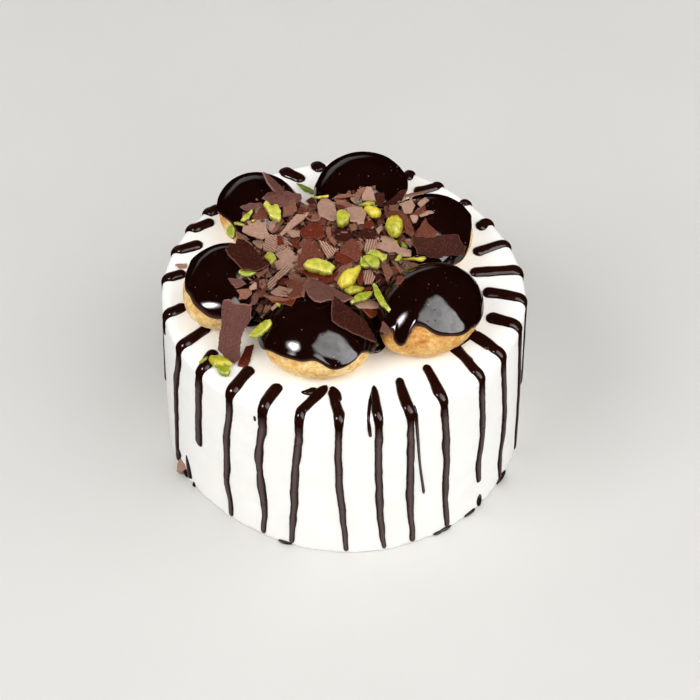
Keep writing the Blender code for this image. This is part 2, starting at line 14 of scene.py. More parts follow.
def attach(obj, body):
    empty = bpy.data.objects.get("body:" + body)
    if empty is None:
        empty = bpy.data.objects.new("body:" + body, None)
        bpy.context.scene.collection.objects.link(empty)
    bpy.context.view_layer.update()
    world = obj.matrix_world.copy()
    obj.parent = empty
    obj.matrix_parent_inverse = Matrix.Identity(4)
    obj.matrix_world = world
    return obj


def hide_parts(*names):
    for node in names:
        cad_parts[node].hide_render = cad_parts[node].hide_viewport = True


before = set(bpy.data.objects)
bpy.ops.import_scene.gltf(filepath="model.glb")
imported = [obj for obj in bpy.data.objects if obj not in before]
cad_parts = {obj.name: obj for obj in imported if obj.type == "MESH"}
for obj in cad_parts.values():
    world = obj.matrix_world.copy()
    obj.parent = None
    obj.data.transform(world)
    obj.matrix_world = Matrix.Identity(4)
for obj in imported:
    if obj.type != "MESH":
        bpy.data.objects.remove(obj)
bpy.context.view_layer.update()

MM = 0.001
ZENITH = np.array((0, 0, 1.0))

# Cream
CAKE_RADIUS = 84.2
CAKE_HEIGHT = 91.5
RIM_ROUNDING = 4.5
# Waves of the hand-spread outline: order, height, direction of the crest
BASE_WAVES = ((2, 0.5, 124), (3, 0.8, 73), (4, 0.8, 2))
RIM_WAVES = ((1, 0.5, 136), (2, 0.5, 106), (3, 0.6, 94), (4, 0.5, 82))
CREAM_COLUMNS = 400
TOP_ROWS = 46
RIM_ROWS = 9
SIDE_ROWS = 84
# Relief, layer by layer: how much flatter than wide its features are, their size, seed and depth
CREAM_RELIEF = ((3, 26, 1, 0.08), (2, 8, 2, 0.02))
# Height of the ragged lower edge
RAGGED_HEIGHT = 2.0

# Poured runs: a run's section is an arc that starts and ends this many degrees under the cream's skin
SUNK_ANGLE = 24
SECTION_POINTS = 15
# Steps along a run, on the top and down the side
TOP_STEP = 0.6
SIDE_STEP = 0.8
# Its bow on the top in millimetres, and down the side its bow and how far it wanders in degrees
TOP_BOW = 0.5
SIDE_BOW = 0.9
WANDER = 0.3
# Widths are multiplied by these, on the top and down the side
TOP_WIDENING = 1.28
SIDE_WIDENING = 1.16
# Height over the cream on the top, and how much less it is down the side
RUN_HEIGHT = 1.75
RUN_FLATTENING = 0.97
# Share of the width at the inner end, which evens out over this length; the front ones start narrow
NARROW_START = 0.8
WIDE_START = 1.16
START_LENGTH = 14
FRONT_RIM = (262, 340)
# Below this height a run gets thinner, by this share at the foot
THINNING_HEIGHT = 34
THINNING = 0.36
STROKE_HEIGHT = 1.2

# Profiteroles: the lower half is cut flat at this share of its depth
BASE_CUT = 0.66
# Clearance under a bun, and thickness of the glaze
GAP = 0.3
GLAZE_SKIN = 1.3
# Bead along the edge of the glaze: extra thickness, distance from the edge, spread, rounding at the edge
GLAZE_BEAD = 0.2
BEAD_PLACE = 0.8
BEAD_SPREAD = 1.6
EDGE_ROUNDING = 1.5
CRUST_RELIEF = ((1, 8, 0, 0.45), (1.5, 3.2, 1, 0.34), (1, 1.3, 2, 0.16))
GLAZE_RELIEF = ((1, 9, 5, 0.16), (1, 4, 6, 0.05))
CRACK_DEPTH = 0.5
# How far the crust draws back under the glaze, and the share of a bulge that the crust follows
COVERED_DEPTH = 1.4
CRUST_SWELL = 0.8

# Heap
HEAP_CENTRE = (-4, 8)
HEAP_RADIUS = 41
HEAP_HEIGHT = 24
HEAP_RELIEF = ((1, 3.5, 8, 0.9), (1, 1.4, 9, 0.5))
# How far the core lies under the surface of the heap
CORE_DEPTH = 1.6
# Where toppings lie on a bun: share of its lean at that height, and how much of its bulges counts
DOME_LEAN = 0.8
DOME_SWELL = 1.2
FLAKE_THICKNESS = 0.8
SHARD_THICKNESS = 1.0
LOOSE_THICKNESS = 0.9
LOOSE_BEND = 0.3
RIDGE_PITCH = 1.1
RIDGE_DEPTH = 0.46
# Flakes of the filling lie from this far under the surface of the heap to this far over it
FILL_DEPTH = 2.6
FILL_RISE = 0.4

# Camera
CAMERA_PLACE = (2.7, -907.4, 1018.0)
CAMERA_PITCH = 46.91
CAMERA_ROLL = -0.19
FRAME_PIXELS = 700
FOCAL_PIXELS = 2801.2
SENSOR = 36.0
# Lines of sight are followed down from this height over the cream, in steps of this length
SIGHT_START = 45
SIGHT_STEP = 0.25

# Softboxes: azimuth, elevation, width and height in degrees as seen from the cake, radiance
SOFTBOXES = {
    "key_left": (-146, 44, 34, 34, 4.5),
    "key_right": (-38, 50, 80, 56, 1.8),
}
LAMP_DISTANCE = 2000
ROOM_LIGHT = 0.5
# What the glossy surfaces mirror of them. Corners: azimuth, elevation, share of the glow; rings: share of
# the way out to the corners and of the glow there
PANEL_DISTANCE = 1900
LEFT_PANEL = (-146, 43, 13.0)
LEFT_RINGS = ((0.1, 1.0), (0.45, 1.0), (0.62, 0.3), (0.8, 0.12), (1.0, 0.0))
RIGHT_CORNERS = (
    (-108, 58, 0.7), (-92, 72, 0.7), (-60, 84, 0.75), (0, 78, 0.85), (-8, 66, 0.95), (-18, 46, 1.0),
    (-20, 25, 1.05), (-20, 2, 1.1), (-36, 1, 1.1), (-52, 3, 1.1), (-64, 18, 0.9), (-84, 36, 0.75),
    (-98, 46, 0.7))
RIGHT_RINGS = ((0.1, 1.0), (0.86, 1.0), (1.06, 0.0))
BACK_CORNERS = (
    (80, 2, 0.7), (84, 12, 0.8), (104, 18, 1.0), (128, 18, 1.0), (144, 12, 0.9), (148, 2, 0.8),
    (112, 1, 1.0))
BACK_RINGS = ((0.1, 1.0), (0.6, 0.9), (1.0, 0.0))
LEFT_GLOW = 62.0
RIGHT_GLOW = 11.0
BACK_GLOW = 1.1
FLOOR_HALF = 3000

# rim, inner, end: azimuths where the run crosses the rim, starts on top and ends on the side; start:
# radius of its inner end; foot: height of its lower end; top, side: widths; bends: height, azimuth
Run = namedtuple("Run", "rim start inner end foot top side bends")
RUNS = (
    Run(7.1, 59, 8, 6, 10, 4.6, 4.8, ()),
    Run(20.1, 64, 19, 21, 45, 4.0, 3.2, ()),
    Run(31.8, 73, 31, 33, 4, 4.0, 3.4, ()),
    Run(43.8, 78, 44, 44, 28, 3.8, 3.2, ()),
    Run(56.4, 71, 62, 55, 1, 4.2, 3.4, ()),
    Run(67.3, 77, 67, 68, 50, 3.8, 3.0, ()),
    Run(78.0, 78, 78, 79, 12, 3.8, 3.2, ()),
    Run(89.0, 78, 89, 88, 1, 4.0, 3.4, ()),
    Run(99.0, 78, 97, 99, 38, 4.4, 3.4, ()),
    Run(109.8, 73, 105, 111, 2, 4.6, 3.6, ()),
    Run(121.0, 76, 120, 122, 25, 4.0, 3.2, ()),
    Run(131.0, 76, 130, 131, 1, 4.0, 3.4, ()),
    Run(141.9, 78, 138, 142, 30, 3.8, 3.2, ()),
    Run(151.4, 75, 145, 152, 55, 4.2, 3.2, ()),
    Run(162.5, 72, 157, 163, 9, 4.2, 3.4, ()),
    Run(175.6, 74, 173, 184, 33, 4.0, 3.4, ()),
    Run(191.7, 74, 189, 191, 76, 4.2, 4.2, ()),
    Run(206.4, 67, 203, 199.5, 1, 4.2, 4.8, ((60, 202.5), (36, 201))),
    Run(218.7, 71, 215, 215.8, 35, 4.2, 4.6, ((72, 217.7), (60, 217))),
    Run(232.2, 66, 231, 229.8, 1, 4.2, 3.5, ((60, 230.3), (36, 229.4), (24, 228.8), (12, 230))),
    Run(244.3, 68, 245, 242.6, 1, 4.5, 3.6, ((54, 242.4), (42, 242.6), (18, 243.4))),
    Run(256.2, 63, 263, 252.6, 1, 3.8, 3.4, ((66, 255.3), (42, 254.2), (24, 253.7))),
    Run(268.4, 65, 265, 270.4, 1, 4.0, 3.0, ((48, 268.4), (24, 269.6))),
    Run(280.6, 64, 282, 282.4, 1, 3.4, 3.2, ((60, 280.6), (24, 281.2))),
    Run(290.7, 63, 293, 292, 1, 4.0, 3.3, ((60, 290.9), (30, 290.8))),
    Run(302.4, 62, 306, 304.4, 1, 4.3, 3.5, ((48, 303.7), (30, 303.3))),
    Run(317.8, 63, 322, 318.2, 17, 4.0, 3.5, ((48, 318.7), (30, 317.4))),
    Run(329.2, 66, 333, 331, 1, 4.2, 4.0, ((60, 330.9), (42, 331.7), (14, 330))),
    Run(342.5, 68, 343, 345, 1, 4.8, 4.6, ((72, 343.5), (48, 345.6))),
    Run(354.5, 64, 356, 354.7, 33, 4.6, 5.0, ()),
)
# Rim azimuths of the runs whose inner end is drawn out to a point, and the length of that point
POINTED_STARTS = (256.2, 280.6)
POINT_LENGTH = 7.0
# Smears, webs and thin threads on the cream, seen, with the width at each point
STROKES = (
    (((301, 392), 1.0), ((306, 392.5), 3.0), ((312, 391.5), 4.6), ((317.5, 389), 5.0)),
    (((329.5, 388), 2.4), ((333, 389.5), 3.2), ((337, 394), 3.6), ((338.5, 402), 3.6)),
    (((448, 341), 7.0), ((455, 348), 6.2), ((463, 356), 5.0), ((472, 364), 4.8)),
    (((464, 332), 6.0), ((472, 336), 4.8), ((481, 342), 4.4), ((492, 349), 4.6)),
    (((454, 347), 3.0), ((462, 341), 4.0), ((470, 336), 3.0), ((476, 330), 2.0)),
    (((356, 344), 3.0), ((366, 349.5), 3.6), ((376, 350.5), 3.4), ((382, 346), 3.0), ((384, 338), 3.0)),
    (((362, 338), 9.0), ((374, 338), 9.0), ((386, 334), 8.0), ((394, 330), 6.0)),
    (((370, 330), 12.0), ((378, 322), 12.0), ((384, 312), 10.0)),
    (((240, 322), 9.0), ((250, 320), 9.0), ((262, 318), 9.0)),
    (((372, 391), 0.8), ((370, 401), 1.5), ((369, 411), 1.6), ((368.5, 420), 1.5), ((369.5, 430), 1.8),
        ((370.5, 437), 1.4)),
    (((413.5, 405), 1.4), ((416.5, 420), 1.7), ((418, 440), 1.5), ((420, 465), 1.2), ((424, 494), 1.5)),
    (((254.5, 416), 1.2), ((255, 421), 1.2)),
    (((186.5, 455), 1.0), ((188, 462), 2.6), ((189.5, 470), 3.6), ((190.5, 478), 4.2)),
    (((178, 449), 2.6), ((180, 453), 3.4), ((179, 458), 2.6)),
)
# Small pools at the foot: azimuth, spread along the side, spread outward, height
POOLS = (
    (250.5, 3.4, 1.0, 1.6),
    (303.5, 3.6, 1.0, 1.6),
    (300.6, 2.2, 1.0, 1.2),
    (331.5, 4.6, 1.0, 4.0),
    (318.4, 1.6, 1.0, 8.0),
    (314.0, 3.6, 1.0, 1.3),
    (206.0, 2.6, 1.0, 6.0),
    (203.6, 1.4, 1.0, 4.0),
    (211.5, 0.9, 0.9, 3.4),
)

# x, y: middle of the foot; long, short: radii at the waist; turn: azimuth of the long radius; lean: shift
# at the top; gold: how brown the crust is; border: azimuth, angle from the top of the glaze's edge;
# bulges: azimuth, angle from the top, height and spread where the glaze has gathered
Bun = namedtuple("Bun", "x y long short turn waist height lean_x lean_y gold border bulges")
BUNS = {
    "front": Bun(-11.7, -39.8, 25.8, 24.2, 0, 9.5, 25.5, 0, 0, 0.3, (
        (10, 98), (40, 94), (70, 84), (110, 76), (150, 80), (180, 88), (190, 93), (200, 90), (213, 81),
        (231, 73), (250, 70), (268, 69), (275, 74), (282, 80), (295, 81), (306, 77), (318, 75), (326, 84),
        (332, 95), (343, 98), (352, 98)), ((300, 86, 1.0, 8.0), (314, 84, 0.8, 7.0))),
    "right": Bun(38.6, -28.6, 24.3, 20.8, 35, 12.0, 31.0, 0.7, 0.9, 0.9, (
        (8, 91), (48, 87), (88, 84), (128, 87), (168, 97), (200, 92), (214, 84), (222, 79), (228, 72),
        (232, 73), (235, 80), (239, 85), (244, 87), (247.5, 81), (249.5, 68), (252, 61), (257, 59),
        (265, 60.5), (273, 66), (282, 73), (291, 78), (302, 80.5), (310, 82), (320, 83), (331, 90),
        (347, 94)),
        ((229, 89, 5.0, 9.3), (238, 81, -0.5, 7.4), (300, 86, 0.9, 8.0), (316, 88, 0.9, 8.0))),
    "right_back": Bun(39.0, 22.8, 22.3, 20.3, 46, 9.0, 25.0, 0, 0, 0.5, (
        (0, 68), (40, 84), (80, 84), (110, 86), (160, 90), (200, 92), (240, 93), (280, 94), (300, 93),
        (317, 97), (328, 84), (340, 73)), ((286, 80, 1.2, 5.0),)),
    "back": Bun(8.4, 51.6, 22.0, 20.6, 46, 9.5, 25.0, 0, 0, 0.5, (
        (0, 78), (40, 88), (66, 82), (96, 98), (130, 84), (170, 90), (215, 84), (270, 80), (315, 80)), ()),
    "left_back": Bun(-38.8, 38.7, 21.5, 18.8, 118, 8.5, 24.5, -1, 0, 0.6, (
        (10, 84), (60, 84), (100, 92), (150, 84), (190, 80), (201, 74), (211, 69), (225, 68), (240, 76),
        (255, 88), (300, 94), (340, 92)), ()),
    "left": Bun(-55.0, -12.6, 19.8, 19.2, 90, 12.0, 32.6, 2.5, -2.1, 0.3, (
        (1, 94), (50, 92), (86, 88), (110, 80), (140, 71), (165, 65), (185, 68), (206, 69), (223, 70),
        (234, 71), (253, 76), (270, 79), (304, 94), (335, 96)),
        ((282, 70, 5.4, 8.6), (240, 81, 5.0, 11.0), (258, 28, -2.8, 11.8))),
}

# Plates of chocolate: the middle and its height over the cream, then the turn, pitch and roll of its
# plane, its bend, and its corners, seen
Shard = namedtuple("Shard", "x y z turn pitch roll bend tone corners")
SHARDS = {
    "shard_left_front": Shard(-50.1, -43.0, 16.5, 77, 68, -1, 0.4, "purple", (
        (223, 301), (226, 300), (229, 299.5), (234, 303), (243, 304), (252, 305), (251, 313), (250, 321),
        (244, 330), (241, 338), (240, 350), (240, 359), (235, 364), (230, 362), (226.5, 359), (218, 349.5),
        (219, 340), (219.5, 333), (221.5, 325), (221.6, 316.5), (221.5, 308))),
    "shard_front": Shard(3.2, -44.9, 25.2, -44, -21, -9, 0.5, "dark", (
        (333.7, 296), (331.8, 303), (331.3, 312), (332, 320.5), (339, 326), (348, 330.5), (355, 334),
        (364, 338), (376, 343), (372.5, 333), (367, 323), (359.5, 316), (348, 307), (340, 301))),
    "shard_right_back": Shard(43.4, 5.2, 20.9, 8, -9, 39, 0.3, "dark", (
        (411, 239), (413, 236.5), (421, 237), (430, 236), (440, 235.3), (449, 234.4), (458, 234.3),
        (460, 240), (463, 244.5), (466.5, 246.5), (464.5, 251), (465, 254), (458, 256), (450, 255.5),
        (440, 258), (431, 258), (424, 254.5), (417, 254.5), (416.5, 250), (413, 245))),
    "shard_upright": Shard(-33.9, 43.3, 28.9, 157, 47, 26, 0.1, "purple", (
        (262.8, 172.2), (268, 175), (276, 182), (284, 190.5), (281, 192.5), (274, 191), (267.5, 183))),
    "shard_left": Shard(-44.0, -12.4, 33.2, -36, -12, -10, 0.4, "dark", (
        (225.3, 248.5), (231, 244), (235, 244), (237, 239), (244, 240.5), (251, 245), (257, 252), (263, 259),
        (269.5, 265), (262, 269), (256, 272), (249, 270), (243.5, 270.5), (238, 265), (234, 260),
        (228, 254.5))),
    "shard_middle": Shard(-8.0, -30.0, 26.8, -18, 0, -16, 0.5, "purple", (
        (306, 289), (307.5, 284), (310, 279.5), (318, 281), (327, 285), (336, 289), (345, 294), (354, 298),
        (345, 302), (338, 300.5), (330, 299.5), (321, 302.3), (314, 300.5), (309, 296))),
}

# Flakes listed one by one: tone, height over what carries them, corners seen, ridged or not
Flake = namedtuple("Flake", "tone lift corners ridged", defaults=(False,))
FLAKES = (
    Flake("light", 3.4, ((242, 231), (243, 226), (249, 225.5), (246, 221), (252, 221), (258, 216),
        (267, 216), (266, 228), (270, 236), (262, 240), (256, 237.5), (248, 235))),
    Flake("mid", 1.0, ((235, 232), (242, 233), (250, 239), (244, 240.5), (238, 237))),
    Flake("light", 1.9, ((252.5, 241), (258.5, 237), (264.5, 242.5), (262, 249.5), (256, 246))),
    Flake("light", 1.2, ((266, 235), (283, 236), (292, 244), (294, 249), (281, 251), (270, 253.5),
        (263, 250), (265, 242)), ridged=True),
    Flake("red", 1.9, ((277, 236), (281, 236), (284, 244), (278, 246))),
    Flake("purple", 1.2, ((262, 198), (268, 192.5), (275, 191), (280, 195), (286, 199), (290, 203),
        (281, 207), (270, 203))),
    Flake("purple", 1.6, ((274, 191.5), (284, 190), (292, 193), (301, 194), (302, 199), (297, 203),
        (286, 200))),
    Flake("purple", 0.7, ((240, 207), (249, 203.5), (262, 203), (261, 207), (250, 211), (246, 211))),
    Flake("brown", 1.0, ((252, 217), (257, 210), (263, 206), (269, 212), (267, 217), (256, 219))),
    Flake("mid", 2.2, ((283, 204), (289, 201), (295, 199), (297, 210), (292, 216), (283, 217))),
    Flake("light", 0.8, ((270, 221), (275, 221), (276, 227), (271, 233), (268, 229))),
    Flake("mid", 2.0, ((283, 218), (284.5, 221), (277, 231), (272, 233.5), (271.5, 231.5), (277, 224))),
    Flake("light", 2.6, ((297, 214.5), (308, 214.5), (303, 220), (292, 228), (281.5, 236), (280, 234),
        (288, 224))),
    Flake("light", 1.2, ((286, 232), (291, 230), (300, 231), (300, 237), (292, 237))),
    Flake("red", 1.2, ((292, 241), (297, 237.5), (301, 244), (299, 249.5), (294, 246))),
    Flake("light", 1.8, ((275, 254), (281, 250), (290, 249), (296, 254), (299, 256), (297, 262), (294, 267),
        (290, 269), (284, 268), (277, 270), (274, 263), (280, 260))),
    Flake("light", 0.8, ((299, 250), (303, 248), (301.5, 256), (297, 252))),
    Flake("mid", 0.6, ((257, 250), (263, 252), (267, 257), (263, 260), (257, 255))),
    Flake("light", 2.4, ((321, 199), (328, 199), (333, 203), (337, 212), (336, 221), (329, 220), (319, 215),
        (317, 205))),
    Flake("mid", 1.8, ((334, 199), (345, 201), (350, 204), (357, 206), (345, 208.5), (338, 207))),
    Flake("red", 2.2, ((337, 205), (344, 206), (343, 211), (338, 210))),
    Flake("light", 2.2, ((343, 210), (348, 207.5), (356, 206), (362, 207), (366, 213), (364, 223.5),
        (358, 224), (356.5, 221.5), (350, 221), (349, 217))),
    Flake("light", 3.0, ((366, 187), (371, 187), (374, 195), (376, 201), (362, 200.5), (361.5, 196))),
    Flake("mid", 1.6, ((331, 199), (338, 195), (350, 193.5), (354, 196), (345, 198), (336, 198.5))),
    Flake("mid", 3.4, ((355, 193), (363, 187), (366, 187.5), (362, 194), (360, 199), (356, 197))),
    Flake("brown", 1.2, ((306, 201), (312, 197), (320, 201), (316, 206), (309, 204))),
    Flake("mid", 1.4, ((312, 215), (320, 213), (322, 217), (317, 221), (311, 221))),
    Flake("brown", 1.4, ((317, 221), (326, 219), (325, 224), (320, 224.5))),
    Flake("red", 1.9, ((300, 232), (303, 228), (306, 226), (313, 224), (320, 222.5), (323, 230), (325, 236),
        (318, 239), (310, 237), (303, 239))),
    Flake("mid", 1.4, ((327, 227), (331, 228), (331, 236), (337, 243), (335, 246), (329, 240), (326, 232))),
    Flake("dark", 1.4, ((331, 236), (336, 230), (342, 227), (350, 233), (355, 240), (347, 242.5),
        (338, 242))),
    Flake("brown", 2.6, ((309, 236), (314, 240), (322, 245), (325, 250), (323.5, 259), (312, 262),
        (304, 269), (297, 270), (297.5, 260), (301, 252), (305, 243))),
    Flake("purple", 1.8, ((299, 244), (304, 238), (307, 240), (303, 249), (300, 247))),
    Flake("light", 2.0, ((318, 240), (327, 243), (337, 250), (333, 256), (328, 258.5),
        (324, 252)), ridged=True),
    Flake("brown", 2.3, ((341, 246), (346, 242), (352, 238), (358, 243), (360, 250), (363, 258), (357, 262),
        (348, 256), (340, 252))),
    Flake("red", 1.7, ((336, 252), (345, 253), (357, 261), (346, 265), (335, 259))),
    Flake("light", 1.8, ((366, 240), (377, 240), (375, 250), (367, 255), (364, 250)), ridged=True),
    Flake("red", 1.6, ((363, 222), (372, 220), (374, 226), (366, 229), (363, 228))),
    Flake("dark", 1.2, ((358, 232), (365, 228), (376, 230), (377, 236), (370, 240), (361, 240))),
    Flake("mid", 1.2, ((349, 225), (356, 224), (357, 229), (352, 231))),
    Flake("mid", 1.2, ((352, 241), (361, 241), (364, 247), (360, 252), (356, 247))),
    Flake("light", 2.2, ((375, 237), (384, 236), (393, 238), (397, 243), (400, 248), (411, 250), (411, 256),
        (402, 256.5), (395, 252), (389, 253), (380, 249), (373, 248.5), (376, 242))),
    Flake("light", 2.0, ((375, 230), (382, 225), (383, 229), (379, 234))),
    Flake("dark", 1.6, ((379, 206), (390, 200), (400, 191), (407, 189), (404, 197), (396, 204),
        (386, 207))),
    Flake("mid", 2.0, ((404, 196), (412, 193), (424, 191.8), (424, 193.4), (412, 195.2), (405, 197.4))),
    Flake("mid", 1.5, ((389, 205), (399, 205), (398, 209), (403, 213), (396, 211), (390, 210.5))),
    Flake("light", 2.4, ((399, 204), (412, 200), (415, 206), (411, 213), (404, 212.5), (402, 207))),
    Flake("light", 1.2, ((417.5, 204), (425, 197.5), (429, 200.5), (420.5, 207.5))),
    Flake("light", 1.4, ((410, 216), (418, 215), (418, 219), (416, 223), (413, 223))),
    Flake("brown", 2.6, ((413, 214), (425, 206), (426, 211), (420, 214.5))),
    Flake("light", 1.8, ((424, 211), (432, 211), (434, 212.5), (427, 215), (420, 217), (419, 215))),
    Flake("brown", 1.8, ((383, 213), (392, 211), (404, 213), (392, 216), (388, 220))),
    Flake("brown", 2.0, ((398, 212), (405, 213), (411, 222), (414, 232), (412, 238), (406, 233),
        (403, 222))),
    Flake("brown", 1.4, ((413, 235), (420, 227), (425.5, 217.5), (429, 225), (438, 232), (435, 237),
        (420, 238))),
    Flake("mid", 1.6, ((404, 243), (411, 240), (414, 246), (409, 245.5))),
    Flake("mid", 2.6, ((391, 260.5), (394, 261), (403, 271), (401, 274))),
    Flake("mid", 2.2, ((380, 264), (386, 264), (391, 269), (394, 274), (387, 281.5), (384, 273))),
    Flake("brown", 1.4, ((388, 267), (396, 266), (400, 272), (394, 276))),
    Flake("dark", 2.8, ((370, 197), (376, 192.5), (384, 193), (385, 201), (380, 206), (373, 203))),
    Flake("light", 2.0, ((363, 271), (371, 270), (375, 277), (372, 284.5), (364, 284.5)), ridged=True),
    Flake("dark", 1.6, ((374, 272), (381, 276), (386, 283), (380, 286), (375, 279))),
    Flake("brown", 1.0, ((397.5, 276), (405, 277), (400.5, 284), (396, 284))),
    Flake("light", 1.4, ((345, 301), (358, 299.5), (371, 300), (385, 307.5), (372, 308.5), (359, 308))),
    Flake("red", 2.0, ((361, 308), (384, 308), (380, 314), (371, 318), (366, 313.5))),
    Flake("red", 2.6, ((354, 278), (359, 271), (363.5, 276), (363, 282), (361, 288), (357, 282))),
    Flake("red", 2.2, ((364, 288), (372, 287), (370, 291.5), (362, 292))),
    Flake("purple", 20.3, ((383, 321), (387, 325), (391, 331), (388, 335.5), (380, 331))),
    Flake("mid", 1.4, ((400, 262), (410, 263), (422, 262), (416, 268.5), (408, 266))),
    Flake("light", 3.2, ((274, 276.5), (287, 265), (291.5, 269.5), (279, 280)), ridged=True),
    Flake("light", 2.6, ((264, 285), (274.5, 276), (280, 277.5), (272, 290), (268, 290),
        (267, 285)), ridged=True),
    Flake("light", 2.6, ((270.5, 293), (279, 286), (293.5, 290), (287, 296), (276, 295.5))),
    Flake("brown", 1.8, ((284, 282), (293, 279), (302, 285), (303, 296), (293, 299), (287, 297),
        (294, 290))),
    Flake("red", 1.5, ((277, 283), (284, 278), (292, 279), (290, 284), (280, 286))),
    Flake("mid", 1.8, ((260.5, 295), (272, 296.5), (286, 299), (296, 299), (284, 303), (272, 301))),
    Flake("red", 1.4, ((272, 301), (285, 302), (296, 298.5), (291.5, 306), (280, 303.5))),
    Flake("mid", 1.6, ((254.5, 304), (262, 302.5), (263.5, 309), (260, 313.5), (255.5, 310))),
    Flake("dark", 1.2, ((258, 297), (270, 303), (275, 308), (270, 314), (262, 311), (261, 303))),
    Flake("light", 1.8, ((272, 310.5), (271, 309), (277, 303), (280, 303.5))),
    Flake("mid", 1.4, ((236, 290), (243, 289), (250, 289), (252, 294), (247, 299), (238, 300),
        (239.5, 295))),
    Flake("purple", 1.2, ((228, 278.5), (237, 279), (242, 280), (246.5, 284), (240, 287), (235, 288),
        (231, 283))),
    Flake("light", 1.6, ((249, 288), (254, 282), (256.5, 283), (256.5, 289), (250, 291))),
    Flake("purple", 2.0, ((250.5, 297), (257, 290), (258.5, 299), (255, 305), (248.5, 304.5))),
    Flake("mid", 1.4, ((259, 280), (264, 279), (266, 286), (262, 289.5), (259, 286))),
    Flake("brown", 1.4, ((257, 289), (264, 289), (266, 296), (258, 298))),
    Flake("dark", 1.6, ((254, 279), (259, 277), (258.5, 291), (254, 289))),
    Flake("purple", 1.0, ((271, 265), (276, 268), (273, 277), (270, 276))),
    Flake("mid", 1.6, ((254, 273), (262, 271.5), (268.5, 267.5), (268, 270), (258.5, 278))),
    Flake("mid", 1.2, ((302.5, 286), (309, 277.5), (318.5, 278.5), (313, 282), (305.5, 290), (303.5, 297.5),
        (300.5, 293))),
    Flake("red", 1.4, ((300, 271), (312, 270), (326, 276), (340, 276), (345, 270), (341, 280), (325, 284),
        (310, 278))),
    Flake("mid", 1.8, ((331, 277), (341, 266), (352, 263), (352, 267), (343, 274), (337, 282))),
    Flake("mid", 1.0, ((331, 282), (337, 281), (337, 288), (331, 287))),
)
# Flakes on the cream: tone, corners seen
CREAM_FLAKES = (
    ("red", ((237.5, 366), (241.5, 356), (246, 346.5), (254, 345), (251.5, 356), (247.5, 367.5))),
    ("light", ((175, 265), (180, 264), (187, 264), (186.5, 267.5), (179, 268))),
)

# Flake that leans on the side at the foot: azimuth, height of its middle, tone, length, width, lean
FOOT_FLAKE = (204.0, 4.6, "light", 9.6, 6.4, 24)

